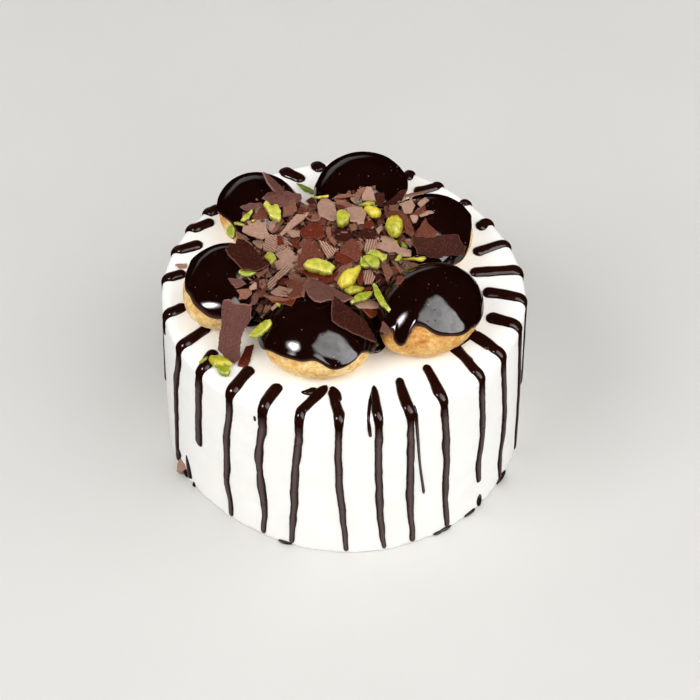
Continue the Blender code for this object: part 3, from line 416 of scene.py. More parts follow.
# Pistachios: how yellow, height over what carries them, thickness, whether cut flat, corners seen
Nut = namedtuple("Nut", "yellow lift thick cut corners")
NUTS = (
    Nut(0.55, 3.4, 4.4, True, ((263, 205), (265.5, 201.5), (268.5, 204.5), (271, 206.5), (274, 205),
        (278, 206), (281, 213), (281, 219), (279, 222), (274, 220), (270.5, 219), (267, 211))),
    Nut(0.3, 2.8, 2.4, True, ((252.5, 209.5), (253, 212), (249, 219), (244, 222), (240.5, 221.5),
        (244, 216))),
    Nut(0.5, 2.2, 1.6, False, ((233.5, 222.5), (238, 221.5), (246, 224.5), (245, 226), (238, 225.5),
        (234, 224.5))),
    Nut(0.05, 1.6, 3.4, True, ((227, 231), (229, 227), (235, 225.5), (236.5, 229), (235, 236), (233, 239),
        (229, 237), (227, 234))),
    Nut(-0.2, 1.2, 2.2, False, ((296, 183), (302, 184.5), (310, 188), (317, 193), (312, 194),
        (304, 190.5))),
    Nut(0.4, 3.4, 5.0, True, ((336, 220), (337, 214), (341, 212), (346, 213), (350.5, 217), (347.5, 223),
        (343, 226.5), (338.5, 225))),
    Nut(0.5, 3.4, 2.8, False, ((358, 205.5), (363, 202.5), (369, 201), (374, 200.5), (376, 203.5),
        (374, 206), (368, 206.5), (362, 206))),
    Nut(1.0, 3.4, 5.0, False, ((364, 208), (366, 206), (372, 207), (378, 210), (382, 213.5), (381.5, 216.5),
        (377, 217.5), (371, 216), (366.5, 212.5))),
    Nut(0.55, 4.6, 6.4, False, ((388, 219), (392, 215.5), (398, 214.5), (402, 219), (403, 225),
        (400.5, 232), (397, 237), (391, 237.5), (386.5, 233), (385, 227))),
    Nut(0.35, 4.0, 3.4, True, ((366, 254), (371, 250.5), (377, 251.5), (382, 255), (387, 256), (386, 260),
        (382, 263), (378, 259), (372, 256.5))),
    Nut(0.0, 3.2, 3.0, True, ((360, 263), (360.5, 257.5), (363, 259), (366, 263), (369, 267.5), (365, 268),
        (361, 267))),
    Nut(0.2, 5.2, 3.6, True, ((363, 257), (369, 256), (375, 257), (379, 261), (380, 264), (378, 269),
        (373, 268.5), (368, 264.5), (364.5, 260.5))),
    Nut(0.4, 2.8, 1.8, False, ((394, 240), (397, 240), (399.5, 246), (400.5, 248.5), (398, 248),
        (395, 244))),
    Nut(0.0, 2.4, 2.8, False, ((401, 241.5), (405, 243), (408, 248), (405, 249.5), (401, 248))),
    Nut(0.35, 3.2, 3.2, True, ((394, 261), (397, 256.5), (400, 255), (401.5, 260), (398, 262))),
    Nut(0.7, 4.2, 1.8, False, ((401, 258.5), (408, 257.5), (414, 256.5), (420, 258.5), (425, 256),
        (427, 258.5), (422, 262), (417, 261), (410, 260), (402, 260.5))),
    Nut(0.55, 5.2, 5.4, True, ((303.5, 265.5), (306, 261.5), (311, 260), (318, 259.5), (325, 262),
        (330, 263.5), (335.5, 267.5), (331.5, 272), (331.5, 274.5), (325, 275), (318, 273), (311, 271),
        (306, 268.5))),
    Nut(0.95, 4.8, 6.0, False, ((336.5, 283), (338.5, 278.5), (343, 272.5), (347, 269), (354, 267.5),
        (360, 265), (361, 269), (358.5, 275), (356, 281), (352, 286), (346, 289), (341, 290.5),
        (338, 287.5))),
    Nut(0.4, 3.4, 3.0, False, ((343.5, 290), (350, 286.5), (357, 286.5), (365, 288), (361, 291.5),
        (354, 293), (349.5, 294.5), (346, 292.5))),
    Nut(0.25, 3.2, 3.0, True, ((350, 302), (354, 297), (361, 293.5), (372.5, 292.5), (371, 296), (366, 300),
        (358, 302.5), (352, 304))),
    Nut(0.3, 3.0, 3.0, True, ((373, 285), (375, 284), (378, 287), (382, 295), (387, 304), (391.5, 310.5),
        (389, 312.5), (386, 310), (380, 304.5), (375.5, 297), (374, 291))),
    Nut(0.0, 1.8, 3.0, True, ((238, 273), (240, 270.5), (247, 268), (252, 270), (256, 273.5), (251, 276.5),
        (242, 277))),
    Nut(0.5, 3.0, 3.8, True, ((265, 257.5), (269, 253.5), (274, 254), (277, 259), (274, 263), (271, 265),
        (268, 262))),
    Nut(0.8, 2.6, 1.6, False, ((312, 197.5), (318, 196.5), (330, 195), (328, 197.5), (318, 199))),
    Nut(0.35, 2.2, 3.0, True, ((249.5, 337), (252, 333), (259, 327), (266, 321), (271, 320), (272, 324),
        (268, 330), (262, 335), (255, 338))),
    Nut(0.3, 1.4, 2.0, False, ((276, 303), (281, 304.5), (280, 307), (276.5, 306))),
    Nut(0.9, 3.0, 1.5, False, ((251, 220.5), (253.5, 219), (255, 221), (252, 222.5))),
)
CREAM_NUTS = (
    Nut(0.5, 2.2, 4.2, False, ((208, 359), (210, 355.5), (217, 355.5), (222, 356), (229, 360), (233.5, 364),
        (229, 366.5), (221, 367.5), (214, 366), (210, 362.5))),
    Nut(0.05, 1.8, 3.4, True, ((217, 369.5), (221, 368), (227, 368.5), (230.5, 371), (229, 375), (225, 376),
        (220, 374))),
    Nut(0.25, 1.2, 2.0, False, ((198.5, 362.5), (203, 359), (207, 356.5), (209.5, 357.5), (208, 360),
        (203, 363), (200, 363.5))),
)
# Half sections from the top down. Of a plate: share of the outline, share of half the thickness
PLATE_PROFILE = ((0.35, 1), (0.7, 1), (0.96, 1), (1.0, 0.5), (1.0, -0.6), (0.97, -1), (0.6, -1))
# Of a nut, cut or whole: share of the outline, share of the thickness
CUT_PROFILE = ((0.4, 0.47), (0.75, 0.46), (0.9, 0.42), (0.98, 0.3), (1.02, 0.06), (0.97, -0.2), (0.8, -0.4),
    (0.4, -0.5))
WHOLE_PROFILE = ((0.25, 0.5), (0.5, 0.45), (0.7, 0.36), (0.86, 0.23), (0.97, 0.06), (0.97, -0.14),
    (0.8, -0.36), (0.4, -0.48))
# Outline of the heap, seen
HEAP_OUTLINE = (
    (229, 246), (231, 234), (238, 226), (250, 214), (264, 202), (275, 195), (300, 196), (322, 198),
    (350, 197), (372, 193), (392, 201), (408, 200), (420, 207), (420, 218), (412, 226), (416, 240),
    (412, 256), (402, 268), (392, 278), (384, 290), (378, 302), (362, 304), (345, 300), (320, 294),
    (305, 292), (294, 300), (276, 306), (262, 312), (250, 300), (240, 294), (238, 284), (248, 270),
)
# Shares of the tones among the flakes that fill the heap
FILL_TONES = {"light": 0.22, "mid": 0.26, "brown": 0.2, "red": 0.12, "dark": 0.12, "purple": 0.08}
FILL_COUNT = 520
CRUMB_COUNT = 600
# Colours as seen, 0 to 255
TONE_COLOURS = {
    "light": (164, 130, 113),
    "mid": (126, 85, 68),
    "brown": (98, 52, 40),
    "red": (90, 32, 17),
    "dark": (46, 15, 8),
    "purple": (102, 66, 60),
}


def srgb(red, green, blue):
    """Scene-linear colour for a colour as seen."""
    shares = [value / 255 for value in (red, green, blue)]
    return tuple(s / 12.92 if s <= 0.04045 else ((s + 0.055) / 1.055) ** 2.4 for s in shares)


def lumps(points, size, seed=0):
    """Smooth noise from about -1 to 1 at each point, with features of this size."""
    shift = Vector((seed * 17.3, seed * 5.1, seed * 9.7))
    return np.array([noise.noise(Vector(point) + shift) for point in np.asarray(points) / size])


def relief(points, layers, seed=0):
    """Unevenness of all the layers together at each point."""
    total = 0
    for flatter, size, own_seed, depth in layers:
        total = total + depth * lumps(points * (1, 1, flatter), size, seed + own_seed)
    return total


def smooth(rows, at):
    """Curve through rows of place and value, level beyond both ends."""
    places = np.array([row[0] for row in rows], float)
    values = np.array([row[1] for row in rows], float)
    slopes = np.gradient(values, places)
    at = np.clip(at, places[0], places[-1])
    index = np.clip(np.searchsorted(places, at, side="right") - 1, 0, len(places) - 2)
    gap = places[index + 1] - places[index]
    t = (at - places[index]) / gap
    rise = 3 * t ** 2 - 2 * t ** 3
    tangents = (t ** 3 - 2 * t ** 2 + t) * slopes[index] + (t ** 3 - t ** 2) * slopes[index + 1]
    return values[index] * (1 - rise) + values[index + 1] * rise + gap * tangents


def smooth_round(rows, degrees):
    """The same for a closed round of azimuths."""
    laps = [(at + lap, value) for lap in (-360, 0, 360) for at, value in rows]
    return smooth(laps, np.mod(degrees, 360))


def wave_sum(waves, azimuth):
    return sum(height * np.cos(order * (azimuth - math.radians(crest))) for order, height, crest in waves)


def cake_radius(azimuth, z):
    up = z / CAKE_HEIGHT
    return CAKE_RADIUS + (1 - up) * wave_sum(BASE_WAVES, azimuth) + up * wave_sum(RIM_WAVES, azimuth)


def unit(vector):
    vector = np.asarray(vector, float)
    return vector / np.linalg.norm(vector)


def level_axes(azimuth):
    """Level directions outward and sideways at this azimuth, in radians."""
    cos, sin = math.cos(azimuth), math.sin(azimuth)
    return np.array((cos, sin, 0)), np.array((-sin, cos, 0))


# The view


def camera_axes():
    """Directions to the right, up and forward of the view."""
    pitch, roll = math.radians(CAMERA_PITCH), math.radians(CAMERA_ROLL)
    forward = np.array((0, math.cos(pitch), -math.sin(pitch)))
    level_up = np.array((0, math.sin(pitch), math.cos(pitch)))
    across = np.array((1.0, 0, 0))
    right = across * math.cos(roll) + level_up * math.sin(roll)
    up = level_up * math.cos(roll) - across * math.sin(roll)
    return right, up, forward


RIGHT, UP, FORWARD = camera_axes()
EYE = np.array(CAMERA_PLACE)


def sight(seen):
    """Direction of the line of sight through a pixel."""
    half = FRAME_PIXELS / 2
    return FORWARD + RIGHT * (seen[0] - half) / FOCAL_PIXELS - UP * (seen[1] - half) / FOCAL_PIXELS


def pixel_of(place):
    """Where a place is seen."""
    away = place - EYE
    scale = FOCAL_PIXELS / np.dot(away, FORWARD)
    return FRAME_PIXELS / 2 + scale * np.dot(away, RIGHT), FRAME_PIXELS / 2 - scale * np.dot(away, UP)


def seen_on_plane(seen, place, normal):
    """Where the line of sight meets the plane through place."""
    line = sight(seen)
    return EYE + line * (np.dot(place - EYE, normal) / np.dot(line, normal))


def seen_at_height(seen, z):
    return seen_on_plane(seen, ZENITH * z, ZENITH)


# Profiteroles and the heap that leans on them


def bun_surface(bun, azimuth, polar, skin):
    """Points of a bun at these azimuths and angles from the top, in radians, moved outward by skin."""
    azimuth, polar, skin = np.broadcast_arrays(azimuth, polar, skin)
    local = azimuth - math.radians(bun.turn)
    upward = np.cos(polar)
    rise = np.where(upward > 0, bun.height - bun.waist, bun.waist / BASE_CUT) + skin
    along = (bun.long + skin) * np.sin(polar) * np.cos(local)
    aside = (bun.short + skin) * np.sin(polar) * np.sin(local)
    z = np.maximum(bun.waist + rise * upward, 0)
    share = z / bun.height
    cos, sin = math.cos(math.radians(bun.turn)), math.sin(math.radians(bun.turn))
    x = bun.x + bun.lean_x * share + along * cos - aside * sin
    y = bun.y + bun.lean_y * share + along * sin + aside * cos
    return np.stack((x, y, CAKE_HEIGHT + GAP + z), axis=-1)


def gathered(bun, points):
    """How far the glaze and the crust under it stand out at these points."""
    swell = np.zeros(len(points))
    for at, angle, height, spread in bun.bulges:
        peak = bun_surface(bun, math.radians(at), math.radians(angle), GLAZE_SKIN)
        swell += height * np.exp(-(np.linalg.norm(points - peak, axis=1) / spread) ** 2)
    return swell


def dome_height(bun, x, y):
    """Height over the cream of the bun's glaze at this place, 0 beside it."""
    cos, sin = math.cos(math.radians(bun.turn)), math.sin(math.radians(bun.turn))
    away_x = x - bun.x - bun.lean_x * DOME_LEAN
    away_y = y - bun.y - bun.lean_y * DOME_LEAN
    along, aside = away_x * cos + away_y * sin, away_y * cos - away_x * sin
    inside = 1 - (along / (bun.long + GLAZE_SKIN)) ** 2 - (aside / (bun.short + GLAZE_SKIN)) ** 2
    if inside <= 0:
        return 0.0
    height = GAP + bun.waist + (bun.height - bun.waist + GLAZE_SKIN) * math.sqrt(inside)
    return height + DOME_SWELL * float(gathered(bun, np.array([(x, y, CAKE_HEIGHT + height)]))[0])


def core_height(x, y):
    away = math.hypot(x - HEAP_CENTRE[0], y - HEAP_CENTRE[1]) / HEAP_RADIUS
    return HEAP_HEIGHT * math.sqrt(max(0.0, 1 - away * away))


def support(x, y):
    """Height over the cream of what carries the toppings at this place."""
    return max([core_height(x, y)] + [dome_height(bun, x, y) for bun in BUNS.values()])


def support_normal(x, y, reach=2.0, steepest=1.1):
    """Direction square to what carries the toppings, at most this steep."""
    slope_x = (support(x + reach, y) - support(x - reach, y)) / (2 * reach)
    slope_y = (support(x, y + reach) - support(x, y - reach)) / (2 * reach)
    limit = min(1.0, steepest / max(math.hypot(slope_x, slope_y), 1e-6))
    return unit((-slope_x * limit, -slope_y * limit, 1.0))


def seen_on_support(seen, lift):
    """Where the line of sight comes down on what carries the toppings."""
    line = sight(seen)
    place = seen_at_height(seen, CAKE_HEIGHT + SIGHT_START)
    while place[2] > CAKE_HEIGHT + support(place[0], place[1]) + lift and place[2] > CAKE_HEIGHT:
        place = place + line * SIGHT_STEP
    return place


# Meshes


def grid_faces(rows, columns):
    """Quads of rows of points, each row closed into a ring."""
    row, column = np.meshgrid(np.arange(rows - 1), np.arange(columns), indexing="ij")
    first = row * columns + column
    second = row * columns + (column + 1) % columns
    return np.stack((first, second, second + columns, first + columns), axis=-1).reshape(-1, 4)


def ring_body(rings, first, last):
    """Points, quads and triangles of a closed body: rings of points with one point at each end."""
    rows, columns = rings.shape[:2]
    points = np.concatenate((rings.reshape(-1, 3), [first, last]))
    around = np.arange(columns)
    onward = (around + 1) % columns
    pole = np.full(columns, rows * columns)
    base = (rows - 1) * columns
    start = np.stack((onward, around, pole), axis=1)
    end = np.stack((base + around, base + onward, pole + 1), axis=1)
    return points, grid_faces(rows, columns), np.concatenate((start, end))


def volume_sign(points, quads, triangles):
    """Positive where the faces point out."""
    halves = np.concatenate((triangles, quads[:, (0, 1, 2)], quads[:, (0, 2, 3)]))
    a, b, c = (points[halves[:, k]] - points.mean(axis=0) for k in range(3))
    return np.sum(a * np.cross(b, c))


class Shape:
    """The bodies of one piece, joined, each with its own values on its points."""

    def __init__(self):
        self.points, self.quads, self.triangles, self.values = [], [], [], {}
        self.count = 0

    def add(self, body, **values):
        points, quads, triangles = body
        if volume_sign(points, quads, triangles) < 0:
            quads, triangles = quads[:, ::-1], triangles[:, ::-1]
        self.points.append(points)
        self.quads.append(quads + self.count)
        self.triangles.append(triangles + self.count)
        for name, value in values.items():
            column = np.broadcast_to(np.asarray(value, float), len(points))
            self.values.setdefault(name, []).append(column)
        self.count += len(points)

    def make(self, name, material, nodes, slot=None, flat=False, crisp=False):
        """The piece as a mesh object that stands for the named nodes."""
        points = np.concatenate(self.points) * MM
        faces = np.concatenate(self.quads).tolist() + np.concatenate(self.triangles).tolist()
        mesh = bpy.data.meshes.new(name)
        mesh.from_pydata(points.tolist(), [], faces)
        if not flat:
            mesh.shade_smooth()
        for key, columns in self.values.items():
            layer = mesh.attributes.new(key, "FLOAT", "POINT")
            layer.data.foreach_set("value", np.concatenate(columns).astype(np.float32))
        if crisp:
            mesh.set_sharp_from_angle(angle=math.radians(40))
        mesh.materials.append(material)
        mesh.update()
        made = bpy.data.objects.new(name, mesh)
        bpy.context.scene.collection.objects.link(made)
        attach(made, "root")
        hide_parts(*nodes)
        return made


# Materials


class Finish:
    """A node material built up step by step."""

    def __init__(self, name, **inputs):
        self.material = bpy.data.materials.new(name)
        self.material.use_nodes = True
        self.tree = self.material.node_tree
        self.shader = self.tree.nodes["Principled BSDF"]
        self.place = self.add("ShaderNodeTexCoord").outputs["Object"]
        self.set(**inputs)

    def add(self, kind, settings=None, inputs=None):
        made = self.tree.nodes.new(kind)
        for key, value in (settings or {}).items():
            setattr(made, key, value)
        for key, value in (inputs or {}).items():
            self.plug(made.inputs[key], value)
        return made

    def plug(self, socket, value):
        if isinstance(value, bpy.types.NodeSocket):
            self.tree.links.new(value, socket)
        else:
            socket.default_value = value

    def set(self, **inputs):
        """Sets or links inputs of the shader, with underscores for the spaces in their names."""
        for key, value in inputs.items():
            name = key.replace("_", " ")
            if isinstance(value, tuple) and len(value) == 3 and name != "Subsurface Radius":
                value = (*value, 1.0)
            self.plug(self.shader.inputs[name], value)

    def grain(self, size, detail=3.0, roughness=0.55, stretch=None, seed=0.0):
        """Noise with features of this size in millimetres, optionally stretched per axis."""
        place = self.place
        if stretch or seed:
            mapping = self.add("ShaderNodeMapping", inputs={"Vector": place})
            mapping.inputs["Scale"].default_value = stretch or (1, 1, 1)
            mapping.inputs["Location"].default_value = (seed, seed, seed)
            place = mapping.outputs[0]
        inputs = {"Vector": place, "Scale": 1 / (size * MM), "Detail": detail, "Roughness": roughness}
        return self.add("ShaderNodeTexNoise", inputs=inputs).outputs["Fac"]

    def cells(self, size, feature="F1"):
        """Distance to the nearest of scattered points this far apart."""
        inputs = {"Vector": self.place, "Scale": 1 / (size * MM)}
        return self.add("ShaderNodeTexVoronoi", {"feature": feature}, inputs).outputs["Distance"]

    def value(self, name):
        """A value stored on the mesh's points."""
        return self.add("ShaderNodeAttribute", {"attribute_name": name}).outputs["Fac"]

    def map(self, source, low, high, to_low=0.0, to_high=1.0):
        inputs = {"Value": source, "From Min": low, "From Max": high, "To Min": to_low, "To Max": to_high}
        return self.add("ShaderNodeMapRange", inputs=inputs).outputs[0]

    def math(self, operation, first, second):
        return self.add("ShaderNodeMath", {"operation": operation}, {0: first, 1: second}).outputs[0]

    def plus(self, first, second):
        return self.math("ADD", first, second)

    def times(self, first, second):
        return self.math("MULTIPLY", first, second)

    def mix(self, share, first, last):
        """Colour between two colours."""
        made = self.add("ShaderNodeMix", {"data_type": "RGBA"})
        self.plug(made.inputs[0], share)
        for socket, value in ((made.inputs[6], first), (made.inputs[7], last)):
            self.plug(socket, (*value, 1.0) if isinstance(value, tuple) else value)
        return made.outputs[2]

    def bump(self, height, depth, under=None):
        """Normal with relief of this depth in millimetres, over another relief."""
        inputs = {"Height": height, "Distance": depth * MM, "Strength": 1.0}
        if under is not None:
            inputs["Normal"] = under
        return self.add("ShaderNodeBump", inputs=inputs).outputs[0]


def cream_finish():
    finish = Finish("cream", Roughness=0.42, Subsurface_Weight=0.3, Specular_IOR_Level=0.35)
    finish.set(Subsurface_Radius=(1.0, 0.92, 0.8), Subsurface_Scale=1.6 * MM)
    tint = finish.map(finish.grain(14, 2), 0.35, 0.7)
    finish.set(Base_Color=finish.mix(tint, srgb(252, 251, 248), srgb(248, 246, 241)))
    strokes = finish.bump(finish.grain(5, 3, 0.5, stretch=(1, 1, 3)), 0.18)
    pores = finish.map(finish.cells(1.7), 0.0, 0.22)
    fine = finish.bump(finish.grain(0.7, 3, 0.6), 0.05, strokes)
    finish.set(Normal=finish.bump(pores, 0.03, fine))
    return finish.material


def run_finish():
    """Poured chocolate, glossy on top and satin down the side, where a painted sheen, a lighter grey band
    with fine streaks, runs along the middle of each run.
    """
    finish = Finish("poured_chocolate", Specular_IOR_Level=0.32, IOR=1.38)
    height = finish.add("ShaderNodeSeparateXYZ", inputs={0: finish.place}).outputs["Z"]
    low = finish.map(height, (CAKE_HEIGHT - 5) * MM, (CAKE_HEIGHT - 14) * MM)
    patches = finish.grain(6, 3)
    deep = finish.mix(patches, srgb(24, 6, 3), srgb(38, 13, 8))
    # Painted sheen down the side: the middle of each run is coloured lighter grey with fine vertical
    # streaks, its edges dark
    sheen_streaks = finish.grain(1.1, 3, 0.6, stretch=(1, 1, 0.08))
    middle = finish.map(finish.plus(finish.value("beside"), finish.times(sheen_streaks, 0.5)), 0.5, 1.05)
    thin = finish.mix(middle, srgb(90, 75, 73), srgb(36, 23, 21))
    finish.set(Base_Color=finish.mix(low, deep, thin))
    uneven = finish.map(patches, 0.3, 0.7, -0.04, 0.06)
    finish.set(Roughness=finish.plus(finish.map(low, 0, 1, 0.1, 0.3), uneven))
    finish.set(Normal=finish.bump(finish.grain(2.6, 2), 0.12))
    return finish.material


def glaze_finish():
    """Dark mirror glaze with a few pinhole bubbles, light specks that are partly dusting and partly painted
    glints, and a lighter grey-brown edge that is partly the brown of thin glaze and partly painted
    reflection.
    """
    finish = Finish("glaze", Roughness=0.07, Specular_IOR_Level=0.5, IOR=1.4)
    patches = finish.grain(9, 2)
    dark = finish.mix(patches, srgb(14, 2, 1), srgb(24, 8, 6))
    # Lighter grey-brown along the rounded edge: partly the brown of the thin glaze, partly painted
    # reflection of the cream below
    edged = finish.mix(finish.value("edge"), dark, srgb(72, 50, 42))
    # Light specks: partly dusting on the glaze, partly painted glints where its pinholes would catch the
    # light
    specks = finish.map(finish.cells(3.4), 0.05, 0.09, 0.7, 0.0)
    dust_and_glints = finish.times(specks, finish.map(finish.grain(7, 1, seed=4.0), 0.46, 0.54))
    finish.set(Base_Color=finish.mix(dust_and_glints, edged, srgb(168, 152, 144)))
    spots = finish.map(finish.cells(4.2), 0.045, 0.085, 1.0, 0.0)
    waves = finish.bump(finish.grain(6, 2, 0.4), 0.06)
    finish.set(Normal=finish.bump(spots, 0.22, waves))
    return finish.material


def choux_finish():
    """Baked crust, pale at the foot and golden to brown towards the glaze."""
    finish = Finish("choux", Roughness=0.6, Subsurface_Weight=0.1, Specular_IOR_Level=0.25)
    finish.set(Subsurface_Radius=(1.0, 0.6, 0.3), Subsurface_Scale=0.6 * MM)
    broad = finish.map(finish.grain(7, 3), 0.35, 0.65)
    fine = finish.map(finish.grain(1.6, 5, 0.65), 0.35, 0.65)
    baked = finish.plus(finish.times(broad, 0.55), finish.times(fine, 0.5))
    for source in ("gold", "height"):
        baked = finish.plus(baked, finish.times(finish.value(source), 0.6))
    pale = finish.mix(finish.map(baked, 0.3, 0.85), srgb(250, 238, 204), srgb(238, 206, 140))
    golden = finish.mix(finish.map(baked, 0.8, 1.35), pale, srgb(212, 156, 74))
    brown = finish.mix(finish.map(baked, 1.4, 1.75), golden, srgb(172, 108, 48))
    crevices = finish.mix(finish.times(finish.value("crack"), 0.6), brown, srgb(206, 142, 72))
    crackle = finish.map(finish.cells(4.2, "DISTANCE_TO_EDGE"), 0.0, 0.05, 0.5, 0.0)
    crackled = finish.times(crackle, finish.map(finish.grain(5, 2, seed=11.0), 0.42, 0.55))
    crevices = finish.mix(crackled, crevices, srgb(176, 118, 62))
    specks = finish.map(finish.cells(1.7), 0.05, 0.15, 1.0, 0.0)
    rare = finish.times(specks, finish.map(finish.grain(5, 1, seed=3.0), 0.5, 0.58))
    finish.set(Base_Color=finish.mix(finish.times(rare, 0.6), crevices, srgb(140, 84, 44)))
    wrinkles = finish.bump(finish.grain(1.8, 4, 0.65), 0.5)
    finish.set(Normal=finish.bump(finish.grain(0.6, 3, 0.6), 0.14, wrinkles))
    return finish.material


def flake_finish(tone):
    """Chocolate plate, each a little lighter or darker than the next, with painted shade on deep flakes,
    ridge troughs and the heap's core, dusty along its broken edges.
    """
    finish = Finish(f"chocolate_{tone}", Roughness=0.6, Specular_IOR_Level=0.06)
    seen = TONE_COLOURS[tone]
    colour = srgb(*seen)
    deeper = srgb(*(part * 0.5 for part in seen))
    grainy = srgb(*(part * 0.95 + rise for part, rise in zip(seen, (42, 26, 18))))
    dusty = srgb(*(part * 0.66 + rise for part, rise in zip(seen, (84, 64, 55))))
    # The stored tone holds the plates' random differences and also painted shade
    plate = finish.mix(finish.value("tone"), deeper, colour)
    shade = finish.map(finish.grain(3.0, 3, 0.6, seed=5.0), 0.3, 0.55, 0.25, 0.0)
    most = 0.4 if tone == "purple" else 0.65
    grain = finish.map(finish.grain(0.8, 4, 0.7), 0.5, 0.62, 0.0, most)
    mottled = finish.mix(grain, finish.mix(shade, plate, deeper), grainy)
    edged = finish.mix(finish.times(finish.value("edge"), 0.7), mottled, dusty)
    specks = finish.map(finish.cells(1.8), 0.03, 0.09, 0.5, 0.0)
    finish.set(Base_Color=finish.mix(specks, edged, dusty))
    finish.set(Normal=finish.bump(finish.grain(0.7, 4, 0.7), 0.14))
    return finish.material


def nut_finish():
    """Pistachio from green to yellow, darker on its outside, with a painted highlight, a pale rim, round a
    cut.
    """
    finish = Finish("pistachio", Roughness=0.4, Subsurface_Weight=0.1, Specular_IOR_Level=0.35)
    finish.set(Subsurface_Radius=(0.8, 1.0, 0.3), Subsurface_Scale=0.5 * MM)
    patches = finish.map(finish.grain(2.4, 3), 0.3, 0.7, -0.4, 0.4)
    yellow = finish.map(finish.plus(finish.value("yellow"), patches), 0, 1)
    outside = finish.mix(yellow, srgb(104, 124, 20), srgb(212, 192, 56))
    inside = finish.mix(yellow, srgb(130, 146, 18), srgb(210, 196, 72))
    flesh = finish.mix(finish.value("cut"), outside, inside)
    # Painted highlight: a pale rim along the edge of a cut
    rim = finish.mix(finish.times(finish.value("edge"), 0.4), flesh, srgb(216, 212, 130))
    skin = finish.map(finish.grain(2.2, 4, 0.7, seed=7.0), 0.62, 0.7, 0.0, 0.4)
    finish.set(Base_Color=finish.mix(skin, rim, srgb(112, 92, 44)))
    finish.set(Normal=finish.bump(finish.grain(0.8, 3, 0.6), 0.16))
    return finish.material


# Cream and runs


def cream_relief(points, height):
    """Small unevenness of the spread cream, outward, with a ragged lower edge."""
    ragged = np.clip(1 - height / RAGGED_HEIGHT, 0, 1) * (lumps(points, 2.2, 3) * 0.7 - 0.35)
    return relief(points, CREAM_RELIEF) + ragged


def make_cream(material):
    azimuth = np.linspace(0, math.tau, CREAM_COLUMNS, endpoint=False)
    outward = np.stack((np.cos(azimuth), np.sin(azimuth), np.zeros_like(azimuth)), axis=-1)
    shoulder = cake_radius(azimuth, CAKE_HEIGHT) - RIM_ROUNDING
    rings = []

    def ring(radius, z, bend):
        base = outward * np.broadcast_to(radius, azimuth.shape)[:, None] + ZENITH * z
        normal = outward * math.sin(bend) + ZENITH * math.cos(bend)
        rings.append(base + normal * cream_relief(base, z)[:, None])

    for share in np.linspace(0.03, 1, TOP_ROWS):
        ring(shoulder * share, CAKE_HEIGHT, 0)
    for bend in np.linspace(0, math.pi / 2, RIM_ROWS + 2)[1:-1]:
        z = CAKE_HEIGHT - RIM_ROUNDING * (1 - math.cos(bend))
        ring(cake_radius(azimuth, z) - RIM_ROUNDING * (1 - math.sin(bend)), z, bend)
    for share in np.linspace(0, 1, SIDE_ROWS):
        z = (CAKE_HEIGHT - RIM_ROUNDING) * (1 - share)
        ring(cake_radius(azimuth, z), max(z, 0.25), math.pi / 2)
    flat = outward * (cake_radius(azimuth, 0) - 0.6)[:, None]
    rings += [flat, flat * 0.5]
    shape = Shape()
    shape.add(ring_body(np.array(rings), (0, 0, CAKE_HEIGHT), (0, 0, 0)))
    shape.make("cream", material, ["cake_body"], "cream")


def bead(line, normals, widths, heights):
    """Closed bead of chocolate along a line that lies on the cream, sunk a little into it, with the share
    of its half width that each of its points lies off the middle."""
    angles = np.linspace(math.radians(-SUNK_ANGLE), math.radians(180 + SUNK_ANGLE), SECTION_POINTS)
    along = np.gradient(line, axis=0)
    along /= np.linalg.norm(along, axis=1)[:, None]
    aside = np.cross(along, normals)
    aside /= np.linalg.norm(aside, axis=1)[:, None]
    rings = []
    for place, side, normal, width, height in zip(line, aside, normals, widths, heights):
        across = np.cos(angles) * width / 2
        rise = np.sin(angles) * height
        rings.append(place + side * across[:, None] + normal * rise[:, None])
    beside = np.tile(np.abs(np.cos(angles)), len(rings))
    return ring_body(np.array(rings), line[0], line[-1]), np.concatenate((beside, (0, 0)))


def end_shares(line, start_length, end_length):
    """Share of the full width along a line whose ends are rounded or drawn out over these lengths."""
    steps = np.linalg.norm(np.diff(line, axis=0), axis=1)
    way = np.concatenate(([0], np.cumsum(steps)))
    left = way[-1] - way
    start = np.sqrt(np.clip(1 - (1 - np.clip(way / start_length, 0, 1)) ** 2, 0.004, 1))
    end = np.sqrt(np.clip(1 - (1 - np.clip(left / end_length, 0, 1)) ** 2, 0.004, 1))
    return np.minimum(start, end), way


